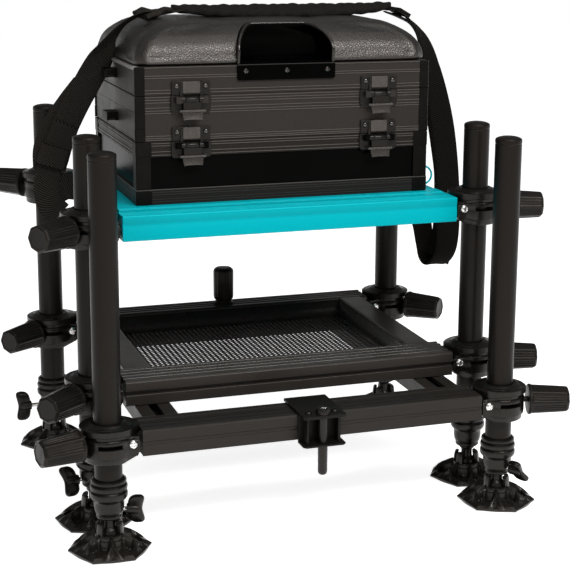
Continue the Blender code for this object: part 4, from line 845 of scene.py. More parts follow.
# Accessory bracket
# Folded steel plates that clip over the footplate's rail and carry an upright bolt for an accessory arm. Two
# button screws hold it, and the bolt has a polished insert in its head.
bracket_low, bracket_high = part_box("accessory_bracket")
black_plate = coated("black_plate", (0.0075, 0.0064, 0.0056), 0.36, 0.12, 800.0, 0.12)
BOLT_Y = FOOT_FRONT - REST_GAP - 0.01525
PLATE_TOP = FOOT_TOP + 0.0043
BUTTON_X = 0.018


def bracket_plates():
    """Top, back and bottom plates with two upright webs; corners on the free edge are cut at 45 degrees."""
    half, cut, thick = 0.0295, 0.004, 0.0015
    face, front, rear = FOOT_FRONT - REST_GAP, bracket_low[1], bracket_high[1]
    top, under = FOOT_TOP + REST_GAP, FOOT_BOTTOM
    edge = [(-half, front + cut), (-half + cut, front), (half - cut, front), (half, front + cut)]
    shapes = [
        extruded([(-half, rear), *edge, (half, rear)], top, top + 0.0040, "z"),
        extruded([(-half, face), *edge, (half, face)], under - 0.0040, under - thick, "z"),
        box_shape((-half, face - 0.0030, under - 0.0030), (half, face, top + 0.0010)),
    ]
    for x in (-half + 0.008, half - 0.008):
        shapes.append(box_shape((x - thick, front + 0.008, under - 0.0030), (x + thick, face, top + 0.0010)))
    return gather(*shapes)


def socket_bolt():
    """Long shank with a round end, and a round head with a bore."""
    top, end = PLATE_TOP, bracket_low[2]
    tip = [(0.0, end), (0.0030, end + 0.0004), (0.0052, end + 0.0018), (0.0064, end + 0.0046)]
    shank = turned([*tip, (0.0065, top), (0.0, top)], 36)
    rim, bore = [(0.0094, -0.0010), (0.0095, 0.0066), (0.0088, 0.0079)], 0.0042
    profile = [(bore, -0.0010), *rim, (bore, 0.0079)]
    head = turned_ring([(r, top + h) for r, h in profile], 36)
    return moved(gather(shank, head), place_at(0.0, BOLT_Y, 0.0))


bracket = bracket_plates()
piece("bracket_plates", bracket, black_plate, "footplate", ["accessory_bracket"], 0.0006)
piece("bracket_bolt", socket_bolt(), black_nylon, "footplate")
socket_place = place_at(0.0, BOLT_Y, FOOT_TOP + 0.0098)
piece("bracket_bolt_socket", moved(screw_head(0.0060, 0.0014), socket_place), bright_steel, "footplate")
for number, x in enumerate((-BUTTON_X, BUTTON_X)):
    button = moved(screw_head(0.0048, 0.0026), place_at(x, BOLT_Y + 0.006, PLATE_TOP))
    piece(f"bracket_button_{number}", button, black_nylon, "footplate")

# Base box
# The deep compartment: black laminated panels held between alloy edge extrusions, with moulded corner posts
# and caps. It is bolted down on the seat frame.
BOX_LEFT, BOX_RIGHT = -0.202, 0.214
BOX_SETBACK = 0.065
BOX_FRONT = seat_low[1] + BOX_SETBACK
BOX_DEPTH = 0.275
BOX_REAR = BOX_FRONT + BOX_DEPTH
BOX_MIDDLE = (BOX_LEFT + BOX_RIGHT) / 2
BASE_RISE, MIDDLE_RISE, LID_RISE = 0.085, 0.0607, 0.038
base_low = SEAT_TOP + REST_GAP
base_high = base_low + BASE_RISE
mid_low = base_high + REST_GAP
mid_high = mid_low + MIDDLE_RISE
lid_low = mid_high + REST_GAP
lid_high = lid_low + LID_RISE
brown_alloy = coated("brown_alloy", (0.0260, 0.0222, 0.0196), 0.40, 0.10, 620.0, 0.12)
dark_alloy = coated("dark_alloy", (0.0150, 0.0128, 0.0114), 0.40, 0.10, 620.0, 0.10)
corner_moulding = moulded("corner_moulding", (0.0040, 0.0034, 0.0030), 0.38, 800.0, 0.2, 0.08)


def panel_finish():
    """Laminated panel: deep black with a soft gloss and a very fine pebble."""
    finish, tree, shader = new_finish("black_panel", 0.20, 0.025)
    graded(tree, shader, "Base Color", noise(tree, 9.0, 3.0), (0.3, grey(0.0010)), (0.7, grey(0.0018)))
    bump(tree, shader, noise(tree, 1500.0, 2.0), 0.12, 0.0002)
    return finish


black_panel = panel_finish()


def recoat(node, finish):
    """Gives a CAD solid that stays in view another finish."""
    frame["nodes"][node].data.materials.clear()
    frame["nodes"][node].data.materials.append(finish)


recoat("base_box", black_panel)


def ribbed_band(profile, path):
    """A wall section of (outward, height) carried along an open path in plan; corners are mitred.

    Each path point p has the mitre m = (n1 + n2) / (1 + n1.n2) of the normals of the runs that meet there.
    """
    plan = np.asarray(path, float)
    run = unit(np.diff(plan, axis=0))
    normal = np.column_stack([run[:, 1], -run[:, 0]])
    before, after = np.vstack([normal[:1], normal]), np.vstack([normal, normal[-1:]])
    mitre = (before + after) / (1 + np.sum(before * after, axis=1, keepdims=True))
    section = np.asarray(profile, float)
    ground = plan[:, None] + mitre[:, None] * section[None, :, :1]
    level = np.broadcast_to(section[None, :, 1:], (*ground.shape[:2], 1))
    return loft(np.concatenate([ground, level], -1))


WALL_PROUD = 0.0006


def extrusion_band(low, high, path):
    """An edge extrusion carried along a path: a flat face closed behind it."""
    return ribbed_band([(WALL_PROUD, low), (WALL_PROUD, high), (-0.0010, high), (-0.0010, low)], path)


def rib_lines(top, depths, path, proud=WALL_PROUD):
    """Fine raised lines round a wall, each a low trapezoid 1.5 mm high, at depths below the wall's top."""
    lines = []
    for depth in depths:
        z = top - depth
        crest = proud + 0.0009
        section = [(0.0, z - 0.0008), (crest, z - 0.0005), (crest, z + 0.0004), (0.0, z + 0.0007)]
        lines.append(ribbed_band(section, path))
    return gather(*lines)


THREE_SIDES = [(BOX_LEFT, BOX_FRONT), (BOX_RIGHT, BOX_FRONT), (BOX_RIGHT, BOX_REAR), (BOX_LEFT, BOX_REAR)]
ALL_ROUND = [(BOX_LEFT, BOX_REAR - 0.001), *THREE_SIDES]
EDGE_HEIGHT = 0.0205
CAP_HEIGHT = 0.0195
base_edges = gather(
    extrusion_band(base_low, base_low + EDGE_HEIGHT, ALL_ROUND),
    extrusion_band(base_high - EDGE_HEIGHT, base_high - 0.0001, ALL_ROUND),
)
piece("base_box_edges", base_edges, dark_alloy, "frame")
# The raised rib lines take a much paler coat than the walls round them: a painted highlight along each rib.
painted_rib_highlight = coated("painted_rib_highlight", (0.074, 0.065, 0.058), 0.34, 0.08, 1200.0, 0.25)
BASE_LINES = [0.0024, 0.0056, 0.0136, 0.0180, 0.0648]
piece("base_box_ribs", rib_lines(base_high, BASE_LINES, ALL_ROUND), painted_rib_highlight, "frame")
# The lines low on the base take a paler coat than the edge extrusion: a faint painted reflection along each
# line.
faint_painted_rib_highlight = coated("faint_painted_rib_highlight", (0.0270, 0.0250, 0.0236), 0.34, 0.08, 1200.0, 0.20)
FOOT_LINES = [0.0684, 0.0716, 0.0778, 0.0812]
foot_ribs = rib_lines(base_high, FOOT_LINES, ALL_ROUND, 0.0002)
piece("base_box_foot_ribs", foot_ribs, faint_painted_rib_highlight, "frame")


def corner_post(x, y, low, high, width, end_width, proud):
    """An L in plan, wrapped round one upright corner of the box and extruded up."""
    sx = 1 if x > BOX_MIDDLE else -1
    sy = 1 if y > (BOX_FRONT + BOX_REAR) / 2 else -1
    step = proud * 0.7
    plan = [
        (x - sx * width, y + sy * proud), (x + sx * step * 0.4, y + sy * proud),
        (x + sx * proud, y + sy * step * 0.4), (x + sx * proud, y - sy * end_width),
        (x - sx * 0.001, y - sy * end_width), (x - sx * 0.001, y - sy * 0.001),
        (x - sx * width, y - sy * 0.001),
    ]
    return extruded(plan, low, high, "z")


def four_corners(low, high, width, end_width, proud):
    """The same post on all four corners of the box."""
    spots = [(x, y) for x in (BOX_LEFT, BOX_RIGHT) for y in (BOX_FRONT, BOX_REAR)]
    return gather(*[corner_post(x, y, low, high, width, end_width, proud) for x, y in spots])


posts = four_corners(base_low + 0.019, base_high - 0.019, 0.019, 0.017, 0.0014)
piece("base_box_posts", posts, corner_moulding, "frame", bevel=0.0006)
caps = gather(
    four_corners(base_low, base_low + CAP_HEIGHT, 0.020, 0.018, 0.0020),
    four_corners(base_high - CAP_HEIGHT, base_high - 0.0002, 0.020, 0.018, 0.0020),
)
piece("base_box_corner_caps", caps, corner_moulding, "frame", bevel=0.0007)


def evenly(path, count):
    """A path with its points at even steps of length, and its length; columns past the third go along."""
    steps = np.linalg.norm(np.diff(path[:, :3], axis=0), axis=1)
    length = np.concatenate([[0], np.cumsum(steps)])
    spot = np.linspace(0, length[-1], count)
    return np.column_stack([np.interp(spot, length, column) for column in path.T]), length[-1]


def tube(path, radius, count=120, columns=16):
    """A round section carried along a path that lies across the Y axis, sampled evenly by length."""
    path, _ = evenly(np.asarray(path, float), count)
    along = unit(np.gradient(path, axis=0))
    side = unit(np.cross(along, [0.0, 1.0, 0.0]))
    up = np.cross(side, along)
    angle = round_angles(columns)[..., None]
    ring = side[:, None] * np.cos(angle) + up[:, None] * np.sin(angle)
    return loft(path[:, None] + radius * ring)


EYE_HEIGHT = 0.4430
bend = np.linspace(-math.pi / 2, math.pi / 2, 15)
eye_depth = np.full(len(bend), BOX_FRONT + 0.011)
eye_path = np.column_stack(
    [BOX_RIGHT + 0.0150 * np.cos(bend), eye_depth, EYE_HEIGHT + 0.0135 * np.sin(bend)]
)
piece("wire_eye", tube(eye_path, 0.0014, 48), turquoise_coat, "frame", crease=60)

# Middle box and lid
# Two hinged units with ribbed alloy walls on three sides and moulded corner strips. The left end is open for
# a drawer in each, and the lid's board carries the cushion.
for node in ("middle_box", "lid_frame", "upper_drawer", "lower_drawer"):
    recoat(node, brown_alloy)
mid_wall = extrusion_band(mid_low + 0.0002, mid_high - 0.0002, THREE_SIDES)
piece("middle_box_wall", mid_wall, brown_alloy, "middle")
MIDDLE_LINES = [0.0020, 0.0056, 0.0092, 0.0160, 0.0200, 0.0232, 0.0536, 0.0566, 0.0590]
middle_ribs = rib_lines(mid_high, MIDDLE_LINES, THREE_SIDES)
# These rib lines in the paler coat are painted highlights.
piece("middle_box_ribs", middle_ribs, painted_rib_highlight, "middle")
lid_wall = extrusion_band(lid_low + 0.0002, lid_high - 0.0002, THREE_SIDES)
piece("lid_wall", lid_wall, brown_alloy, "lid")
LID_LINES = [0.0012, 0.0120, 0.0150, 0.0310, 0.0350]
# These rib lines in the paler coat are painted highlights.
piece("lid_ribs", rib_lines(lid_high, LID_LINES, THREE_SIDES), painted_rib_highlight, "lid")
# A pale strip along the top edge of the lid's left end: a painted highlight on that edge.
painted_edge_highlight = coated("painted_edge_highlight", (0.240, 0.222, 0.210), 0.30, 0.15, 500.0, 0.40)
highlight_strip_low = (BOX_LEFT - 0.0026, BOX_FRONT + 0.004, lid_high - 0.0042)
lid_end = box_shape(highlight_strip_low, (BOX_LEFT + 0.006, BOX_REAR - 0.003, lid_high + 0.0002))
piece("lid_end_highlight_strip", lid_end, painted_edge_highlight, "lid", bevel=0.0012)
middle_corners = gather(
    four_corners(mid_low + 0.0002, mid_low + 0.0165, 0.0120, 0.0030, 0.0022),
    four_corners(mid_low + 0.0168, mid_high - 0.0002, 0.0120, 0.0030, 0.0018),
)
piece("middle_box_corners", middle_corners, corner_moulding, "middle", bevel=0.0006)
lid_corners = four_corners(lid_low + 0.0002, lid_high - 0.0002, 0.0120, 0.0030, 0.0018)
piece("lid_corners", lid_corners, corner_moulding, "lid", bevel=0.0006)

# Drawer pulls
# Moulded rectangular pulls on the left end of each drawer, which draws out to that side. A finger groove
# runs along the underside.
PULL_HEIGHT = 0.0122
PULL_HALF = 0.0156
PULL_Y = (BOX_FRONT + 0.010 + BOX_REAR - 0.022) / 2


def pull_shape(node):
    """A bar with a hollow underside, drawn as a section in (depth, height) carried along Y."""
    low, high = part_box(node)
    end, z = low[0] - 0.0006, (low[2] + high[2]) / 2
    top, under = z + PULL_HEIGHT / 2, z - PULL_HEIGHT / 2
    root, roof = BOX_LEFT + 0.001, under + 0.003
    groove = [
        (BOX_LEFT - 0.0045, under), (BOX_LEFT - 0.0055, roof), (end + 0.003, roof), (end + 0.002, under)
    ]
    outline = [(root, under), *groove, (end, under), (end, top), (root, top)]
    return extruded(outline, PULL_Y - PULL_HALF, PULL_Y + PULL_HALF, "y")


for drawer in ("upper_drawer", "lower_drawer"):
    piece(f"{drawer}_pull", pull_shape(drawer), corner_moulding, drawer, bevel=0.0012)

# Latches
# Pressed over-centre latches. A strike plate is riveted above each split and a catch plate below it, and a
# lever on a barrel turns between the catch plate's ears.
LATCH_X = {"left": 0.006 - 0.134, "right": 0.006 + 0.134}
LATCH_LEVELS = {"upper": (mid_high, "middle", "lid"), "lower": (base_high, "frame", "middle")}
RIVET_X = 0.0198
BARREL_DROP = 0.0055
black_latch = coated("black_latch", (0.0078, 0.0066, 0.0058), 0.28, 0.10, 900.0, 0.2)
# The lever's tab takes a coat lighter than the plates.
lighter_latch = coated("lighter_latch", (0.0330, 0.0285, 0.0255), 0.26, 0.20, 900.0, 0.3)
# The palest latch coat: the strike plate's lighter middle tab, and on the lever's fold a painted highlight
# along its top edge.
pale_latch_and_highlight = coated("pale_latch_and_highlight", (0.0560, 0.0490, 0.0440), 0.28, 0.25, 700.0, 0.3)
rivet_gloss = coated("rivet_gloss", (0.0035, 0.0030, 0.0027), 0.15, 0.05, 900.0, 0.9, 0.02)
# Near black: a painted shade for the slot between the catch plate's ears.
painted_slot_shade = coated("painted_slot_shade", (0.0012, 0.0010, 0.0009), 0.50, 0.10, 900.0, 0.05)
LATCH_FACE = BOX_FRONT - 0.0030


def rounded_plate(half, low, high, corner, front, back, round_top=False):
    """A plate with rounded lower corners, and upper ones where asked: an (x, z) outline carried along Y."""
    sweep = np.linspace(0, math.pi / 2, 7)
    quarter = np.column_stack([np.cos(sweep), np.sin(sweep)]) * corner
    lower_right = np.array([half - corner, low + corner]) + np.column_stack([quarter[:, 1], -quarter[:, 0]])
    lower_left = lower_right[::-1] * [-1, 1]
    upper = np.array([[half, high], [-half, high]])
    if round_top:
        upper_right = np.array([half - corner, high - corner]) + quarter
        upper = np.vstack([upper_right, upper_right[::-1] * [-1, 1]])
    return extruded(np.vstack([lower_right, upper, lower_left]), back, front, "y")


def strike_shape():
    """The upper plate and the raised tab in its middle; heights from the split."""
    plate = rounded_plate(0.0262, 0.0004, 0.0186, 0.0016, -0.0012, 0.0020, True)
    tab = rounded_plate(0.0118, 0.0030, 0.0184, 0.0012, -0.0036, 0.0, True)
    shoulder = rounded_plate(0.0150, 0.0010, 0.0172, 0.0020, -0.0024, 0.0, True)
    return gather(plate, shoulder), tab


def catch_shape():
    """The lower plate with two ears that hold the barrel; second comes a thin near-black plate in the
    outline of the deep slot between the ears, which paints the slot's shade.
    """
    plate = rounded_plate(0.0275, -0.0226, -0.0006, 0.0046, -0.0010, 0.0020)
    slot = rounded_plate(0.0128, -0.0112, -0.0008, 0.0012, -0.0016, 0.0, True)
    ears = []
    for sign in (-1, 1):
        ear = turned([(0.0, 0.0), (0.0048, 0.0), (0.0048, 0.0054), (0.0040, 0.0062), (0.0, 0.0062)], 24)
        turn = place_at(sign * 0.0096, -0.0048, -BARREL_DROP) @ turn_about("Y", sign * 90)
        ears.append(moved(ear, turn))
        cheek, post = sign * 0.0128, sign * 0.0138
        ears.append(box_shape((cheek - 0.0030, -0.0076, -0.0100), (cheek + 0.0030, 0.0010, -0.0020)))
        ears.append(box_shape((post - 0.0020, -0.0034, -0.0020), (post + 0.0020, 0.0010, 0.0060)))
    return gather(plate, *ears), slot


def lever_shape():
    """The barrel and link, the fold that stands out as a bar, and a tab that tapers from 29 to 25 mm."""
    end = [(0.0, 0.0090), (0.0038, 0.0090), (0.0044, 0.0082)]
    profile = [(r, -h) for r, h in end] + end[::-1]
    barrel = moved(turned(profile, 32), turn_about("Y", 90))
    link = box_shape((-0.0120, -0.0034, -0.0150), (0.0120, -0.0010, -0.0030))
    fold = box_shape((-0.0180, -0.0062, -0.0160), (0.0180, -0.0012, -0.0130))
    s = np.linspace(0, 1, 10)[:, None]
    across = np.linspace(-1, 1, 13)[None]
    x = (0.0146 - 0.0020 * s) * across
    z = np.broadcast_to(-0.0148 - 0.0107 * s - 0.0010 * across**4 * s, x.shape)
    curl = 0.0060 * np.clip(s - 0.40, 0, 1) ** 1.5
    y = np.broadcast_to(-0.0034 - 0.0010 * np.sin(math.pi * s) - curl, x.shape)
    front = np.stack([x, y - 0.0012, z], -1)
    back = np.stack([x, y + 0.0012, z], -1)
    tab = loft(np.concatenate([front, back[:, ::-1]], axis=1))
    return gather(barrel, link), fold, tab


RIVET_DOME = [(0.0036, 0.0006), (0.0030, 0.0016), (0.0018, 0.0022), (0.0, 0.0024)]
RIVET = turned([(0.0, -0.0010), (0.0036, -0.0010), *RIVET_DOME], 24)
for side, x in LATCH_X.items():
    for level, (wall_top, lower, upper) in LATCH_LEVELS.items():
        split = wall_top + REST_GAP / 2
        spot = place_at(x, LATCH_FACE, split)
        strike, strike_tab = strike_shape()
        catch, catch_slot_shade = catch_shape()
        fixed = (
            ("strike", strike, black_latch, upper, 0.0005),
            ("strike_tab", strike_tab, pale_latch_and_highlight, upper, 0.0004),
            ("catch", catch, black_latch, lower, 0.0005),
            ("catch_slot_shade", catch_slot_shade, painted_slot_shade, lower, 0.0),
        )
        for part, shape, finish, body, bevel in fixed:
            piece(
                f"{level}_{part}_{side}", moved(shape, spot), finish, body, bevel=bevel
            )
        face = spot @ place_at(0.0, -0.0012, 0.0122) @ turn_about("X", 90)
        rivets = [moved(RIVET, face @ place_at(dx, 0.0, 0.0)) for dx in (-RIVET_X, RIVET_X)]
        piece(f"{level}_strike_rivets_{side}", gather(*rivets), rivet_gloss, upper)
        node = f"{level}_latch_{side}"
        axis = place_at(x, BOX_FRONT - 0.0078, split - BARREL_DROP - REST_GAP / 2)
        barrel, fold, tab = lever_shape()
        piece(f"{node}_lever", moved(barrel, axis), black_latch, node, [node])
        # The fold's pale coat paints the highlight along the lever's top edge.
        piece(f"{node}_fold", moved(fold, axis), pale_latch_and_highlight, node, bevel=0.0007)
        piece(f"{node}_tab", moved(tab, axis), lighter_latch, node)

# Seat cushion
# Foam on the lid's board under a grained leather cover that is pulled down and stapled at the edge. The
# front is cut out for the hand grip.
CUSHION_LOW = lid_high + REST_GAP
CUSHION_RISE = 0.0525
CUSHION_HALF = (0.2110, 0.1395)
CUSHION_CENTRE = np.array([BOX_MIDDLE, (BOX_FRONT + BOX_REAR) / 2])


def leather():
    """Pebbled leather: cells raised between fine creases over a soft swell, and dull in the creases."""
    finish, tree, shader = new_finish("grained_leather", 0.45, 0.66)
    place = tree.nodes.new("ShaderNodeTexCoord")
    cells = tree.nodes.new("ShaderNodeTexVoronoi")
    cells.feature = "DISTANCE_TO_EDGE"
    cells.inputs["Scale"].default_value = 310.0
    tree.links.new(place.outputs["Object"], cells.inputs["Vector"])
    pebbles = ramp(tree, cells.outputs["Distance"], (0.0, grey(0.0)), (0.22, grey(0.85)), (0.6, grey(1.0)))
    wear = noise(tree, 18.0, 5.0)
    dark, pale = (0.0060, 0.0050, 0.0044), (0.0105, 0.0088, 0.0076)
    graded(tree, shader, "Base Color", wear, (0.3, dark), (0.75, pale))
    graded(tree, shader, "Roughness", pebbles, (0.0, grey(0.50)), (1.0, grey(0.28)))
    first = bump(tree, shader, pebbles, 0.23, 0.0011)
    bump(tree, shader, noise(tree, 34.0, 3.0), 0.30, 0.0030, first)
    return finish


grained_leather = leather()


def cushion_surface(shrink, columns=176):
    """Rings x = a |cos t|^p, y = b |sin t|^p, signs kept, for each (inset, height) of the profile.

    The power p grows with the inset, so a near rectangle becomes a soft oval. Straight runs are drawn in by
    a cosine of 2.4 mm, pleats run round the corners, and the cover is pinched 5 mm beside the grip.
    """
    profile = np.array(
        [
            (0.060, 0.0), (0.0060, 0.0), (0.0020, 0.0008), (0.0004, 0.0035), (0.0000, 0.0080),
            (0.0008, 0.0150), (0.0030, 0.0225), (0.0066, 0.0295), (0.0115, 0.0355), (0.0178, 0.0406),
            (0.0256, 0.0448), (0.0350, 0.0481), (0.0460, 0.0505), (0.0600, 0.0520), (0.0850, 0.0528),
            (0.1100, 0.0531), (0.1300, 0.0532),
        ]
    )
    t = round_angles(columns)
    inset, height = profile[:, :1] + shrink, profile[:, 1:] * (1 - shrink * 9)
    a, b = CUSHION_HALF[0] - inset, CUSHION_HALF[1] - inset
    power = 0.105 + 1.6 * np.minimum(inset, 0.06)
    cx, sx = np.cos(t), np.sin(t)
    x = a * rounded_power(cx, power)
    y = b * rounded_power(sx, power)
    low = np.clip(1 - height / CUSHION_RISE, 0, 1)
    y = y - np.sign(sx) * 0.0024 * np.cos(np.clip(x / a, -1, 1) * math.pi / 2) * low
    x = x - np.sign(cx) * 0.0024 * np.cos(np.clip(y / b, -1, 1) * math.pi / 2) * low
    pinch = np.exp(-(((np.abs(x) - 0.070) / 0.014) ** 2)) * (sx < 0) * np.clip(-y / b, 0, 1) ** 2
    y = y + 0.0050 * pinch
    pleat = np.clip(np.abs(x) / a - 0.86, 0, 1) * np.clip(np.abs(y) / b - 0.80, 0, 1) * 36.0
    around = np.arctan2(np.abs(y) - b + 0.05, np.abs(x) - a + 0.05)
    waves = 0.0016 * np.clip(pleat, 0, 1) * np.sin(around * 14.0)
    x, y = x + np.sign(cx) * waves, y + np.sign(sx) * waves
    z = CUSHION_LOW + height - 0.0022 * pinch
    return np.stack([CUSHION_CENTRE[0] + x, CUSHION_CENTRE[1] + y, z], -1)


def filled(grid):
    """A skin over the rings with its first and last ring drawn to their middles."""
    ends = [np.broadcast_to(grid[k].mean(0), grid[k].shape)[None] for k in (0, -1)]
    return grid_skin(np.concatenate([ends[0], grid, ends[1]]))


def swell_cover(item, cap, low, voxel=0.0055, pressure=4.0, frames=20):
    """Foam under its cover: remeshed, then blown up by cloth pressure, with each point's move cut to cap."""
    item.data.remesh_voxel_size = voxel
    with bpy.context.temp_override(object=item, active_object=item, selected_objects=[item]):
        bpy.ops.object.voxel_remesh()
    mesh = item.data
    rest = np.empty(len(mesh.vertices) * 3)
    mesh.vertices.foreach_get("co", rest)
    rest = rest.reshape(-1, 3)
    group = item.vertex_groups.new(name="held_edge")
    held = np.nonzero(rest[:, 2] < low + 0.004)[0]
    group.add(held.tolist(), 1.0, "REPLACE")
    cloth = item.modifiers.new("cover", "CLOTH")
    cloth.settings.use_pressure = True
    cloth.settings.uniform_pressure_force = pressure
    cloth.settings.vertex_group_mass = "held_edge"
    cloth.settings.effector_weights.gravity = 0.0
    scene = bpy.context.scene
    for step in range(1, frames + 1):
        scene.frame_set(step)
    shaped = item.evaluated_get(bpy.context.evaluated_depsgraph_get())
    moved_to = np.empty(len(rest) * 3)
    shaped.data.vertices.foreach_get("co", moved_to)
    shift = moved_to.reshape(-1, 3) - rest
    size = np.linalg.norm(shift, axis=1, keepdims=True)
    final = rest + shift * np.minimum(1.0, cap / np.maximum(size, 1e-9))
    final[:, 2] = np.maximum(final[:, 2], low)
    item.modifiers.remove(cloth)
    item.vertex_groups.remove(group)
    mesh.vertices.foreach_set("co", final.ravel())
    scene.frame_set(1)
    mesh.update()


def carve(item, cutter_shape):
    """Takes a closed shape out of a mesh for good."""
    cutter = bpy.data.objects.new("cutter", skin_mesh("cutter", cutter_shape))
    bpy.context.scene.collection.objects.link(cutter)
    cutting = item.modifiers.new("pocket", "BOOLEAN")
    cutting.operation = "DIFFERENCE"
    cutting.solver = "EXACT"
    cutting.object = cutter
    result = bpy.data.meshes.new_from_object(item.evaluated_get(bpy.context.evaluated_depsgraph_get()))
    item.modifiers.remove(cutting)
    item.data = result
    bpy.data.objects.remove(cutter)


GRIP_HALF = 0.068
GRIP_TOP = 0.0522
GRIP_BACK = BOX_FRONT + 0.062
GRIP_PLAY = 0.0006


def arch_outline(inset, base):
    """A round-topped arch in (x, z): straight sides up to quarter circles of 34 mm less the inset."""
    half, top, corner = GRIP_HALF - inset, GRIP_TOP - inset, 0.034 - inset
    sweep = np.linspace(0, math.pi / 2, 10)
    right = np.column_stack([half - corner + corner * np.cos(sweep), top - corner + corner * np.sin(sweep)])
    left = right[::-1] * [-1, 1]
    outline = np.vstack([[(half, base)], right, left, [(-half, base)]])
    return outline + [BOX_MIDDLE, CUSHION_LOW]


cover = filled(cushion_surface(0.0020))
cushion = piece("cushion_cover", cover, grained_leather, "lid", ["seat_cushion"], crease=70)
swell_cover(cushion, 0.0030, CUSHION_LOW)
smooth_cover = cushion.modifiers.new("smooth_cover", "SUBSURF")
smooth_cover.levels = 1
smooth_cover.render_levels = 1
pocket = extruded(arch_outline(-GRIP_PLAY, -0.004), BOX_FRONT - 0.03, GRIP_BACK + GRIP_PLAY, "y")
carve(cushion, pocket)
cushion.modifiers.clear()
cushion.data.shade_smooth()
cushion.data.set_sharp_from_angle(angle=math.radians(60))

# Hand grip
# A gloss moulded scoop let into the front of the cushion, with a rolled lip round its mouth and a bar
# screwed to the front of the lid with three screws.
gloss_moulding, tree, shader = new_finish("gloss_moulding", 0.18, 0.02)
graded(tree, shader, "Base Color", noise(tree, 30.0, 3.0), (0.3, grey(0.0005)), (0.7, grey(0.0009)))
bump(tree, shader, noise(tree, 500.0, 2.0), 0.05, 0.0002)
edge_moulding = moulded("edge_moulding", (0.0075, 0.0066, 0.0060), 0.24, 700.0, 0.10, 0.45)
FRONT_RISE = [0.0, 0.0080, 0.0150, 0.0225, 0.0295, 0.0355, 0.0406, 0.0448, 0.0481, 0.0505, 0.0532]
FRONT_INSET = [0.004, 0.0, 0.0008, 0.0030, 0.0066, 0.0115, 0.0178, 0.0256, 0.0350, 0.0450, 0.0490]


def cushion_front(height):
    """Depth of the cushion's front surface at a height above the lid: the side profile turned into y(h)."""
    inset = np.interp(height, FRONT_RISE, FRONT_INSET)
    return CUSHION_CENTRE[1] - CUSHION_HALF[1] + inset


def scoop_shape():
    """The arch carried from the cushion's surface back to the scoop's end, shrinking at the back wall."""
    outer, inner = arch_outline(0.0, 0.0), arch_outline(0.0030, 0.0030)
    mouth, mouth_in = (cushion_front(outline[:, 1] - CUSHION_LOW) - 0.0022 for outline in (outer, inner))
    middle = inner.mean(0)

    def row(outline, depth):
        """An (x, z) outline set at a depth y."""
        return np.column_stack([outline[:, 0], np.broadcast_to(depth, len(outline)), outline[:, 1]])

    rows = [
        row(outer, GRIP_BACK),
        row(outer, mouth + 0.003),
        row(outer, mouth + 0.0008),
        row((outer + inner) / 2, mouth * 0.5 + mouth_in * 0.5 - 0.0004),
        row(inner, mouth_in + 0.0008),
        row(inner, mouth_in + 0.003),
        row(inner, GRIP_BACK - 0.010),
        row(middle + (inner - middle) * 0.97, GRIP_BACK - 0.006),
        row(middle + (inner - middle) * 0.90, GRIP_BACK - 0.003),
    ]
    return loft(np.stack(rows))


piece("hand_grip_scoop", scoop_shape(), gloss_moulding, "lid", ["hand_grip"], crease=50)


def lip_shape():
    """A rolled lip: a round section carried up one side of the mouth, over the arch and down the other."""
    outline = arch_outline(0.0010, 0.0)
    depth = cushion_front(outline[:, 1] - CUSHION_LOW) - 0.0016
    return tube(np.column_stack([outline[:, 0], depth, outline[:, 1]]), 0.0022)


piece("hand_grip_lip", lip_shape(), edge_moulding, "lid", crease=60)
BAR_PROUD = 0.0046
BAR_SCREW_X = 0.058
bar = rounded_plate(GRIP_HALF + 0.0015, -0.0210, 0.0004, 0.0030, -BAR_PROUD, 0.0010)
bar_place = place_at(BOX_MIDDLE, BOX_FRONT, CUSHION_LOW)
piece("hand_grip_bar", moved(bar, bar_place), gloss_moulding, "lid", bevel=0.0011)
edge = rounded_plate(GRIP_HALF + 0.0017, -0.0004, 0.0006, 0.0003, -0.0052, 0.0)
piece("hand_grip_bar_edge", moved(edge, bar_place), edge_moulding, "lid")
bar_screws = []
for x in (-BAR_SCREW_X, 0.0, BAR_SCREW_X):
    spot = bar_place @ place_at(x, -BAR_PROUD, -0.0085) @ turn_about("X", 90)
    bar_screws.append(moved(screw_head(0.0038, 0.0018), spot))
piece("hand_grip_screws", gather(*bar_screws), rivet_gloss, "lid")

# Shoulder strap
# Black polypropylene webbing, folded and sewn round the rear clamps at both ends, with a stitched foam
# sleeve over the middle and a slide buckle beside its right end.
PAD_REST = CUSHION_LOW + CUSHION_RISE + 0.0083
STRAP_WIDTH = 0.038
STRAP_THICKNESS = 0.0026
STRAP_SPLITS = (0.510, 0.569, 0.610)


def linked(tree, kind, *sources, operation=None):
    """A node whose inputs, in order, take the given outputs and values; returns its first output."""
    node = tree.nodes.new("ShaderNode" + kind)
    if operation:
        node.operation = operation
    for socket, source in zip(node.inputs, sources):
        if isinstance(source, bpy.types.NodeSocket):
            tree.links.new(source, socket)
        else:
            socket.default_value = source
    return node.outputs[0]


def webbing(name, colour):
    """Woven webbing on its own UV map: yarns across it and a diagonal twill."""
    finish, tree, shader = new_finish(name, 0.68, 0.03)
    parts = tree.nodes.new("ShaderNodeSeparateXYZ")
    tree.links.new(linked(tree, "UVMap"), parts.inputs["Vector"])

    def wave(along, across):
        """sin(along u + across v), as a value between 0 and 1."""
        first = linked(tree, "Math", parts.outputs["X"], along, operation="MULTIPLY")
        phase = linked(tree, "Math", parts.outputs["Y"], across, first, operation="MULTIPLY_ADD")
        swing = linked(tree, "Math", phase, operation="SINE")
        return linked(tree, "Math", swing, 0.5, 0.5, operation="MULTIPLY_ADD")

    twill = wave(2 * math.pi / 0.0034, 2 * math.pi / 0.0060)
    yarn = wave(2 * math.pi / 0.0015, 0.0)
    graded(tree, shader, "Base Color", twill, (0.15, shaded(colour, 0.35)), (0.85, shaded(colour, 1.65)))
    first = bump(tree, shader, twill, 0.55, 0.0007)
    bump(tree, shader, yarn, 0.25, 0.0003, first)
    return finish


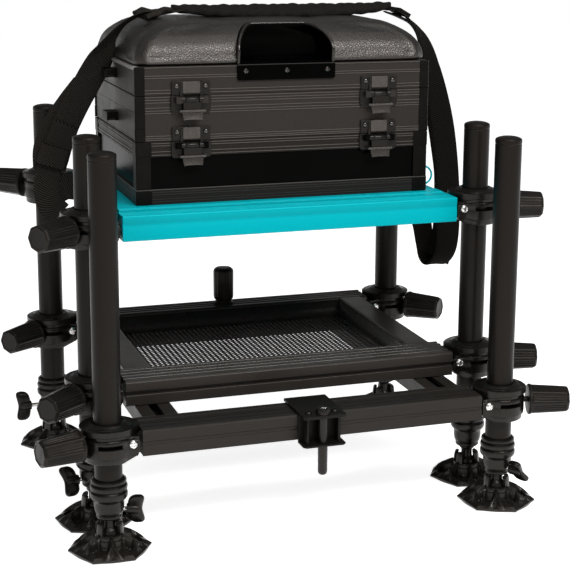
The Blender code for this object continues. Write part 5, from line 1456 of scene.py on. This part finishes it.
# One webbing in two copies: the darker one paints shade on the right runs, the paler one paints light on the
# left runs.
painted_shade_webbing = webbing("painted_shade_webbing", (0.0060, 0.0052, 0.0045))
painted_lit_webbing = webbing("painted_lit_webbing", (0.0195, 0.0168, 0.0146))


def spline(points, count):
    """A smooth curve through the points: a Catmull-Rom cubic between each pair, sampled evenly by length."""
    p = np.asarray(points, float)
    ends = np.vstack([2 * p[0] - p[1], p, 2 * p[-1] - p[-2]])
    t = np.linspace(0, 1, 24, endpoint=False)[None, :, None]
    a, b, c, d = (ends[k : k + len(p) - 1, None] for k in range(4))
    curve = 0.5 * (2 * b + (c - a) * t + (2 * a - 5 * b + 4 * c - d) * t**2 + (3 * b - a - 3 * c + d) * t**3)
    return evenly(np.vstack([curve.reshape(-1, p.shape[1]), p[-1:]]), count)


def strap_grid(stations, count=300, width=STRAP_WIDTH, thickness=STRAP_THICKNESS):
    """A flat section with round edges along a spline; a station is a place and its width's direction.

    Returns the grid of points, the same grid laid flat in metres, the middle line and the outward direction.
    """
    curve, length = spline(stations, count)
    middle, across = curve[:, :3], curve[:, 3:]
    along = unit(np.gradient(middle, axis=0))
    across = unit(across - along * np.sum(along * across, axis=1, keepdims=True))
    normal = np.cross(along, across)
    u = np.linspace(-1, 1, 15)
    half = np.sqrt(np.clip(1 - np.abs(u) ** 14, 0.05, 1)) * thickness / 2
    upper = np.column_stack([u * width / 2, half])
    section = np.vstack([upper, upper[::-1] * [1, -1]])
    grid = middle[:, None] + across[:, None] * section[None, :, :1] + normal[:, None] * section[None, :, 1:]
    flat = np.stack(np.broadcast_arrays(np.linspace(0, length, count)[:, None], section[None, :, 0]), -1)
    return grid, flat, middle, normal


def strap_piece(name, grid, flat):
    """A run of webbing as a mesh with a UV map in metres for the weave; runs on the left take the paler copy
    with painted light, the others the darker copy with painted shade.
    """
    mesh = skin_mesh(name, loft(grid))
    corners = np.empty(len(mesh.loops), int)
    mesh.loops.foreach_get("vertex_index", corners)
    layer = mesh.uv_layers.new(name="weave")
    layer.data.foreach_set("uv", flat.reshape(-1, 2)[corners].astype(np.float32).ravel())
    item = new_item(name, mesh, painted_lit_webbing if "left" in name else painted_shade_webbing, 60)
    return item


LEFT_STATIONS = [
    (-0.266, 0.153, 0.370, 0.90, 0.10, 0.40), (-0.281, 0.150, 0.387, 0.98, 0.00, 0.20),
    (-0.285, 0.149, 0.412, 1.00, 0.00, 0.00), (-0.280, 0.149, 0.440, 0.96, 0.00, -0.25),
    (-0.271, 0.141, 0.470, 0.94, -0.10, -0.35), (-0.259, 0.123, 0.505, 0.92, -0.20, -0.38),
    (-0.247, 0.099, 0.540, 0.90, -0.25, -0.38), (-0.2335, 0.073, 0.575, 0.88, -0.10, -0.40),
    (-0.2215, 0.052, 0.605, 0.80, 0.25, -0.42), (-0.2110, 0.036, 0.632, 0.42, 0.80, -0.40),
    (-0.1900, 0.034, 0.655, 0.22, 0.94, -0.25), (-0.1640, 0.046, 0.6665, 0.12, 0.98, -0.16),
    (-0.1350, 0.060, 0.670, 0.03, 1.00, 0.10), (-0.105, 0.070, 0.6715, 0.00, 1.00, 0.00),
]
RIGHT_STATIONS = [
    (0.273, 0.158, 0.420, 1.00, 0.00, 0.00), (0.274, 0.146, 0.405, 1.00, 0.00, 0.00),
    (0.277, 0.114, 0.380, 1.00, 0.05, 0.00), (0.282, 0.080, 0.346, 0.94, 0.25, 0.00),
    (0.284, 0.066, 0.312, 0.92, 0.34, 0.00), (0.287, 0.058, 0.289, 0.92, 0.28, -0.04),
    (0.293, 0.046, 0.281, 0.92, 0.20, -0.08), (0.301, 0.034, 0.294, 0.92, 0.15, -0.05),
    (0.305, 0.028, 0.320, 0.92, 0.10, 0.00), (0.306, 0.028, 0.370, 0.94, 0.08, 0.06),
    (0.303, 0.031, 0.430, 0.96, 0.08, 0.10), (0.297, 0.036, 0.490, 0.96, 0.10, 0.12),
    (0.289, 0.042, 0.540, 0.95, 0.25, 0.15), (0.279, 0.049, 0.588, 0.84, 0.50, 0.15),
    (0.267, 0.058, 0.630, 0.55, 0.80, 0.10), (0.246, 0.065, 0.656, 0.20, 0.97, 0.05),
    (0.224, 0.068, 0.668, 0.00, 1.00, 0.00), (0.208, 0.068, 0.6690, 0.00, 1.00, 0.00),
]
RIGHT_RETURN = [
    (0.300, 0.050, 0.2865, 0.96, 0.20, -0.05), (0.310, 0.062, 0.301, 0.97, 0.15, 0.00),
    (0.321, 0.078, 0.330, 0.98, 0.10, 0.00), (0.329, 0.094, 0.370, 1.00, 0.05, 0.00),
    (0.332, 0.104, 0.412, 1.00, 0.05, 0.00), (0.328, 0.108, 0.450, 1.00, 0.05, 0.05),
    (0.321, 0.109, 0.490, 0.98, 0.08, 0.10), (0.312, 0.107, 0.530, 0.96, 0.12, 0.12),
    (0.302, 0.103, 0.575, 0.92, 0.30, 0.12), (0.286, 0.096, 0.615, 0.70, 0.60, 0.10),
    (0.262, 0.086, 0.643, 0.35, 0.90, 0.05), (0.240, 0.077, 0.655, 0.10, 0.99, 0.02),
    (0.222, 0.071, 0.6625, 0.00, 1.00, 0.00),
]
STRAP_RUNS = {"left": LEFT_STATIONS, "right": RIGHT_STATIONS, "right_return": RIGHT_RETURN}
for side, stations in STRAP_RUNS.items():
    grid, flat, middle, _ = strap_grid(stations)
    lowest = int(np.argmin(middle[:, 2]))
    first, second, third = (lowest + int(np.argmax(middle[lowest:, 2] > z)) for z in STRAP_SPLITS)
    loop = strap_piece(f"strap_{side}_loop", grid[: first + 1], flat[: first + 1])
    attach(loop, "frame")
    lower = strap_piece(f"strap_{side}_lower", grid[first : second + 1], flat[first : second + 1])
    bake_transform(lower)
    upper = strap_piece(f"strap_{side}_upper", grid[second:], flat[second:])
    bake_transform(upper)

LEFT_RETURN = [
    (-0.284, 0.1560, 0.438, 0.96, 0.00, -0.25), (-0.283, 0.1510, 0.470, 0.94, -0.10, -0.35),
    (-0.2705, 0.1345, 0.506, 0.92, -0.20, -0.38), (-0.2530, 0.1070, 0.540, 0.90, -0.25, -0.38),
    (-0.2365, 0.0808, 0.569, 0.88, -0.12, -0.40),
]
grid, flat, middle, _ = strap_grid(LEFT_RETURN, 120)
first = int(np.argmax(middle[:, 2] > STRAP_SPLITS[0]))
return_loop = strap_piece("strap_left_return_loop", grid[: first + 1], flat[: first + 1])
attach(return_loop, "frame")
return_lower = strap_piece("strap_left_return_lower", grid[first:], flat[first:])
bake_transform(return_lower)
TAIL_LOW, TAIL_HIGH = 0.440, 0.508
grid, flat, middle, normal = strap_grid(LEFT_STATIONS)
height = middle[:, 2:]
outward = normal * np.sign(np.sum(normal * [-0.4, -0.9, 0.0], axis=1, keepdims=True))
loose = np.clip((TAIL_HIGH - height) / 0.05, 0, 1) * [0.0045, 0.0, -0.0015]
rows = ((height > TAIL_LOW) & (height < TAIL_HIGH))[:, 0]
tail_grid = grid + (0.0029 * outward + loose)[:, None]
tail = strap_piece("strap_left_tail", tail_grid[rows], flat[rows])
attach(tail, "frame")


def slide_buckle(half_long=0.0080, half_wide=0.0220, thick=0.0028):
    """A frame with a middle bar: three bars across the strap, joined at both ends by a rail along it."""
    bar, rail, long = 0.0022, 0.0024, half_long + 0.0022
    bars = (-half_long, 0.0, half_long)
    shapes = [box_shape((x - bar, -half_wide, -thick), (x + bar, half_wide, thick)) for x in bars]
    shapes += [
        box_shape((-long, y - rail, -thick), (long, y + rail, thick)) for y in (-half_wide, half_wide)
    ]
    return gather(*shapes)


buckle_place = place_at(0.2330, 0.0670, 0.6650) @ turn_about("Y", 30.0)
buckle = moved(slide_buckle(), buckle_place)
piece("strap_buckle", buckle, corner_moulding, "lid", bevel=0.0009)
FOLD_STATIONS = [
    (-0.164, 0.045, 0.6655, 0.10, 0.95, 0.30), (-0.152, 0.049, 0.6700, 0.06, 0.97, 0.20),
    (-0.140, 0.055, 0.6690, 0.0, 0.97, -0.25), (-0.126, 0.062, 0.6700, 0.0, 1.0, -0.10),
]
KEEPER_STATIONS = [
    (-0.2790, 0.1440, 0.4440, 0.96, 0.0, -0.25), (-0.2745, 0.1425, 0.4580, 0.95, -0.05, -0.30),
    (-0.2700, 0.1395, 0.4720, 0.94, -0.10, -0.35),
]
WRAP_STATIONS = [
    (-0.284, 0.1535, 0.4140, 0.1, 0.0, 1.0), (-0.272, 0.1530, 0.4130, 0.1, 0.0, 1.0),
    (-0.260, 0.1535, 0.4115, 0.1, 0.0, 1.0), (-0.249, 0.1560, 0.4095, 0.1, 0.0, 1.0),
    (-0.240, 0.1600, 0.4075, 0.1, 0.0, 1.0),
]


def laid_strap(name, body, *run):
    """A whole run of webbing that rides on one body."""
    grid, flat, _, _ = strap_grid(*run)
    item = strap_piece(name, grid, flat)
    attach(item, body)


laid_strap("strap_left_fold", "lid", FOLD_STATIONS, 40, 0.040, 0.0085)
laid_strap("strap_left_wrap", "frame", WRAP_STATIONS, 60)
laid_strap("strap_left_keeper", "frame", KEEPER_STATIONS, 30, 0.044, 0.0110)


def sleeve_shape(count=180, columns=72):
    """A soft tube: width and thickness swell from each sewn end, and creases of 0.8 mm run across it.

    The front edge droops, and it wavers by sines of its length.
    """
    s = np.linspace(0, 1, count)[:, None]
    swell = np.clip(np.sin(math.pi * s) ** 0.30, 0.34, 1.0)
    angle = round_angles(columns)
    c, d = np.cos(angle), np.sin(angle)
    ragged = 1 + 0.05 * np.sin(s * 43.0) + 0.04 * np.sin(s * 97.0 + 1.0)
    wide = 0.0310 * swell * rounded_power(c, 0.55) * np.where(c < 0, ragged, 1.0)
    thick = 0.0082 * (0.40 + 0.60 * swell) * rounded_power(d, 0.8)
    crease = 0.0008 * np.sin(s * 61.0) * np.cos(angle * 2 + s * 17.0)
    crease = crease + 0.0005 * np.sin(s * 140.0) * np.clip(d, 0, 1)
    droop = -0.0052 * np.clip(-wide / 0.031, 0, 1.1) ** 2 - 0.0022 * np.clip(wide / 0.031, 0, 1) ** 2
    x = np.broadcast_to(-0.112 + 0.330 * s, wide.shape)
    z = PAD_REST + 0.0040 * (2 * s - 1) ** 4 + 0.0016 + thick + crease + droop
    return loft(np.stack([x, 0.070 - 0.002 * np.sin(math.pi * s) + wide, z], -1))


def sleeve_finish():
    """Dull knitted cover over foam: a fine knit bump and soft folds."""
    finish, tree, shader = new_finish("knit_cover", 0.80, 0.05)
    fuzz = noise(tree, 900.0, 3.0)
    graded(
        tree, shader, "Base Color", fuzz, (0.3, (0.0030, 0.0026, 0.0023)), (0.7, (0.0190, 0.0168, 0.0152))
    )
    first = bump(tree, shader, fuzz, 0.6, 0.0008)
    bump(tree, shader, noise(tree, 90.0, 4.0, (0.4, 1, 1)), 0.35, 0.0020, first)
    return finish


knit_cover = sleeve_finish()
sleeve = piece("strap_sleeve", sleeve_shape(), knit_cover, "lid", ["shoulder_strap"], crease=70)

# Stage
# Plain white surroundings under soft studio light, seen from the front left a little above the seat.
WHITE = (1.0, 1.0, 1.0, 1.0)
FLOOR_HALF = 8
FLOOR_GLOW = 0.80
ROOM_LIGHT = 0.30


def seen_directly(tree):
    """1 for rays from the camera, mirrored ones and ones through a surface; 0 for rays that carry light."""
    rays = tree.nodes.new("ShaderNodeLightPath").outputs
    mirrored = linked(tree, "Math", rays["Is Camera Ray"], rays["Is Glossy Ray"], operation="MAXIMUM")
    return linked(tree, "Math", mirrored, rays["Is Transmission Ray"], operation="MAXIMUM")


stage_mesh = bpy.data.meshes.new("floor")
floor_corners = [(x * FLOOR_HALF, y * FLOOR_HALF, 0) for x, y in ((-1, -1), (1, -1), (1, 1), (-1, 1))]
stage_mesh.from_pydata(floor_corners, [], [(0, 1, 2, 3)])
floor = bpy.data.objects.new("floor", stage_mesh)
bpy.context.scene.collection.objects.link(floor)
studio_white, tree, shader = new_finish("studio_white", 0.9, 0.5)
shader.inputs["Base Color"].default_value = (0.86, 0.86, 0.86, 1.0)
glowing = linked(tree, "AddShader", shader.outputs[0], linked(tree, "Emission", WHITE, FLOOR_GLOW))
surface = linked(tree, "MixShader", seen_directly(tree), shader.outputs[0], glowing)
tree.links.new(surface, tree.nodes["Material Output"].inputs["Surface"])
stage_mesh.materials.append(studio_white)

scene = bpy.context.scene
scene.view_settings.view_transform = "Standard"
world = bpy.data.worlds.new("studio")
scene.world = world
world.use_nodes = True
sky = world.node_tree
light = sky.nodes["Background"]
light.inputs["Color"].default_value = WHITE
light.inputs["Strength"].default_value = ROOM_LIGHT
height = sky.nodes.new("ShaderNodeSeparateXYZ")
sky.links.new(linked(sky, "TexCoord"), height.inputs["Vector"])
backdrop = ramp(sky, height.outputs["Z"], (0.03, grey(1.0)), (0.20, grey(0.15)))
shown = linked(sky, "Background", backdrop, 1.0)
chosen = linked(sky, "MixShader", seen_directly(sky), light.outputs[0], shown)
sky.links.new(chosen, sky.nodes["World Output"].inputs["Surface"])


def softbox(name, place, target, size, power):
    """A rectangular area lamp that looks at a point."""
    lamp = bpy.data.lights.new(name, "AREA")
    lamp.shape = "RECTANGLE"
    lamp.size, lamp.size_y = size
    lamp.energy = power
    holder = bpy.data.objects.new(name, lamp)
    holder.location = place
    holder.rotation_euler = (Vector(target) - Vector(place)).to_track_quat("-Z", "Y").to_euler()
    scene.collection.objects.link(holder)


softbox("key_softbox", (-1.4, -1.9, 1.9), (0.0, 0.0, 0.35), (1.2, 1.6), 9.0)
softbox("fill_softbox", (0.40, -1.80, 1.95), (0.0, -0.05, 0.60), (1.7, 0.42), 48.0)
softbox("top_softbox", (0.1, -0.3, 2.4), (0.0, 0.0, 0.4), (1.8, 1.2), 10.0)

yaw, pitch, roll = math.radians(18.8), math.radians(12.29), math.radians(0.43)
level = Vector((math.sin(yaw), math.cos(yaw), 0.0))
right = Vector((math.cos(yaw), -math.sin(yaw), 0.0))
above = Vector((0.0, 0.0, 1.0))
forward = math.cos(pitch) * level - math.sin(pitch) * above
upward = math.sin(pitch) * level + math.cos(pitch) * above
turned_right = math.cos(roll) * right + math.sin(roll) * upward
turned_up = -math.sin(roll) * right + math.cos(roll) * upward
CAMERA_PLACE = (-0.62445, -2.01417, 0.80144)
lens = bpy.data.cameras.new("camera")
lens.sensor_width = 36.0
lens.lens = 94.306
lens.shift_x = -0.03035
lens.shift_y = -0.07109
camera = bpy.data.objects.new("camera", lens)
axes = Matrix((turned_right, turned_up, -forward)).transposed().to_4x4()
camera.matrix_world = Matrix.Translation(CAMERA_PLACE) @ axes
scene.collection.objects.link(camera)
scene.camera = camera
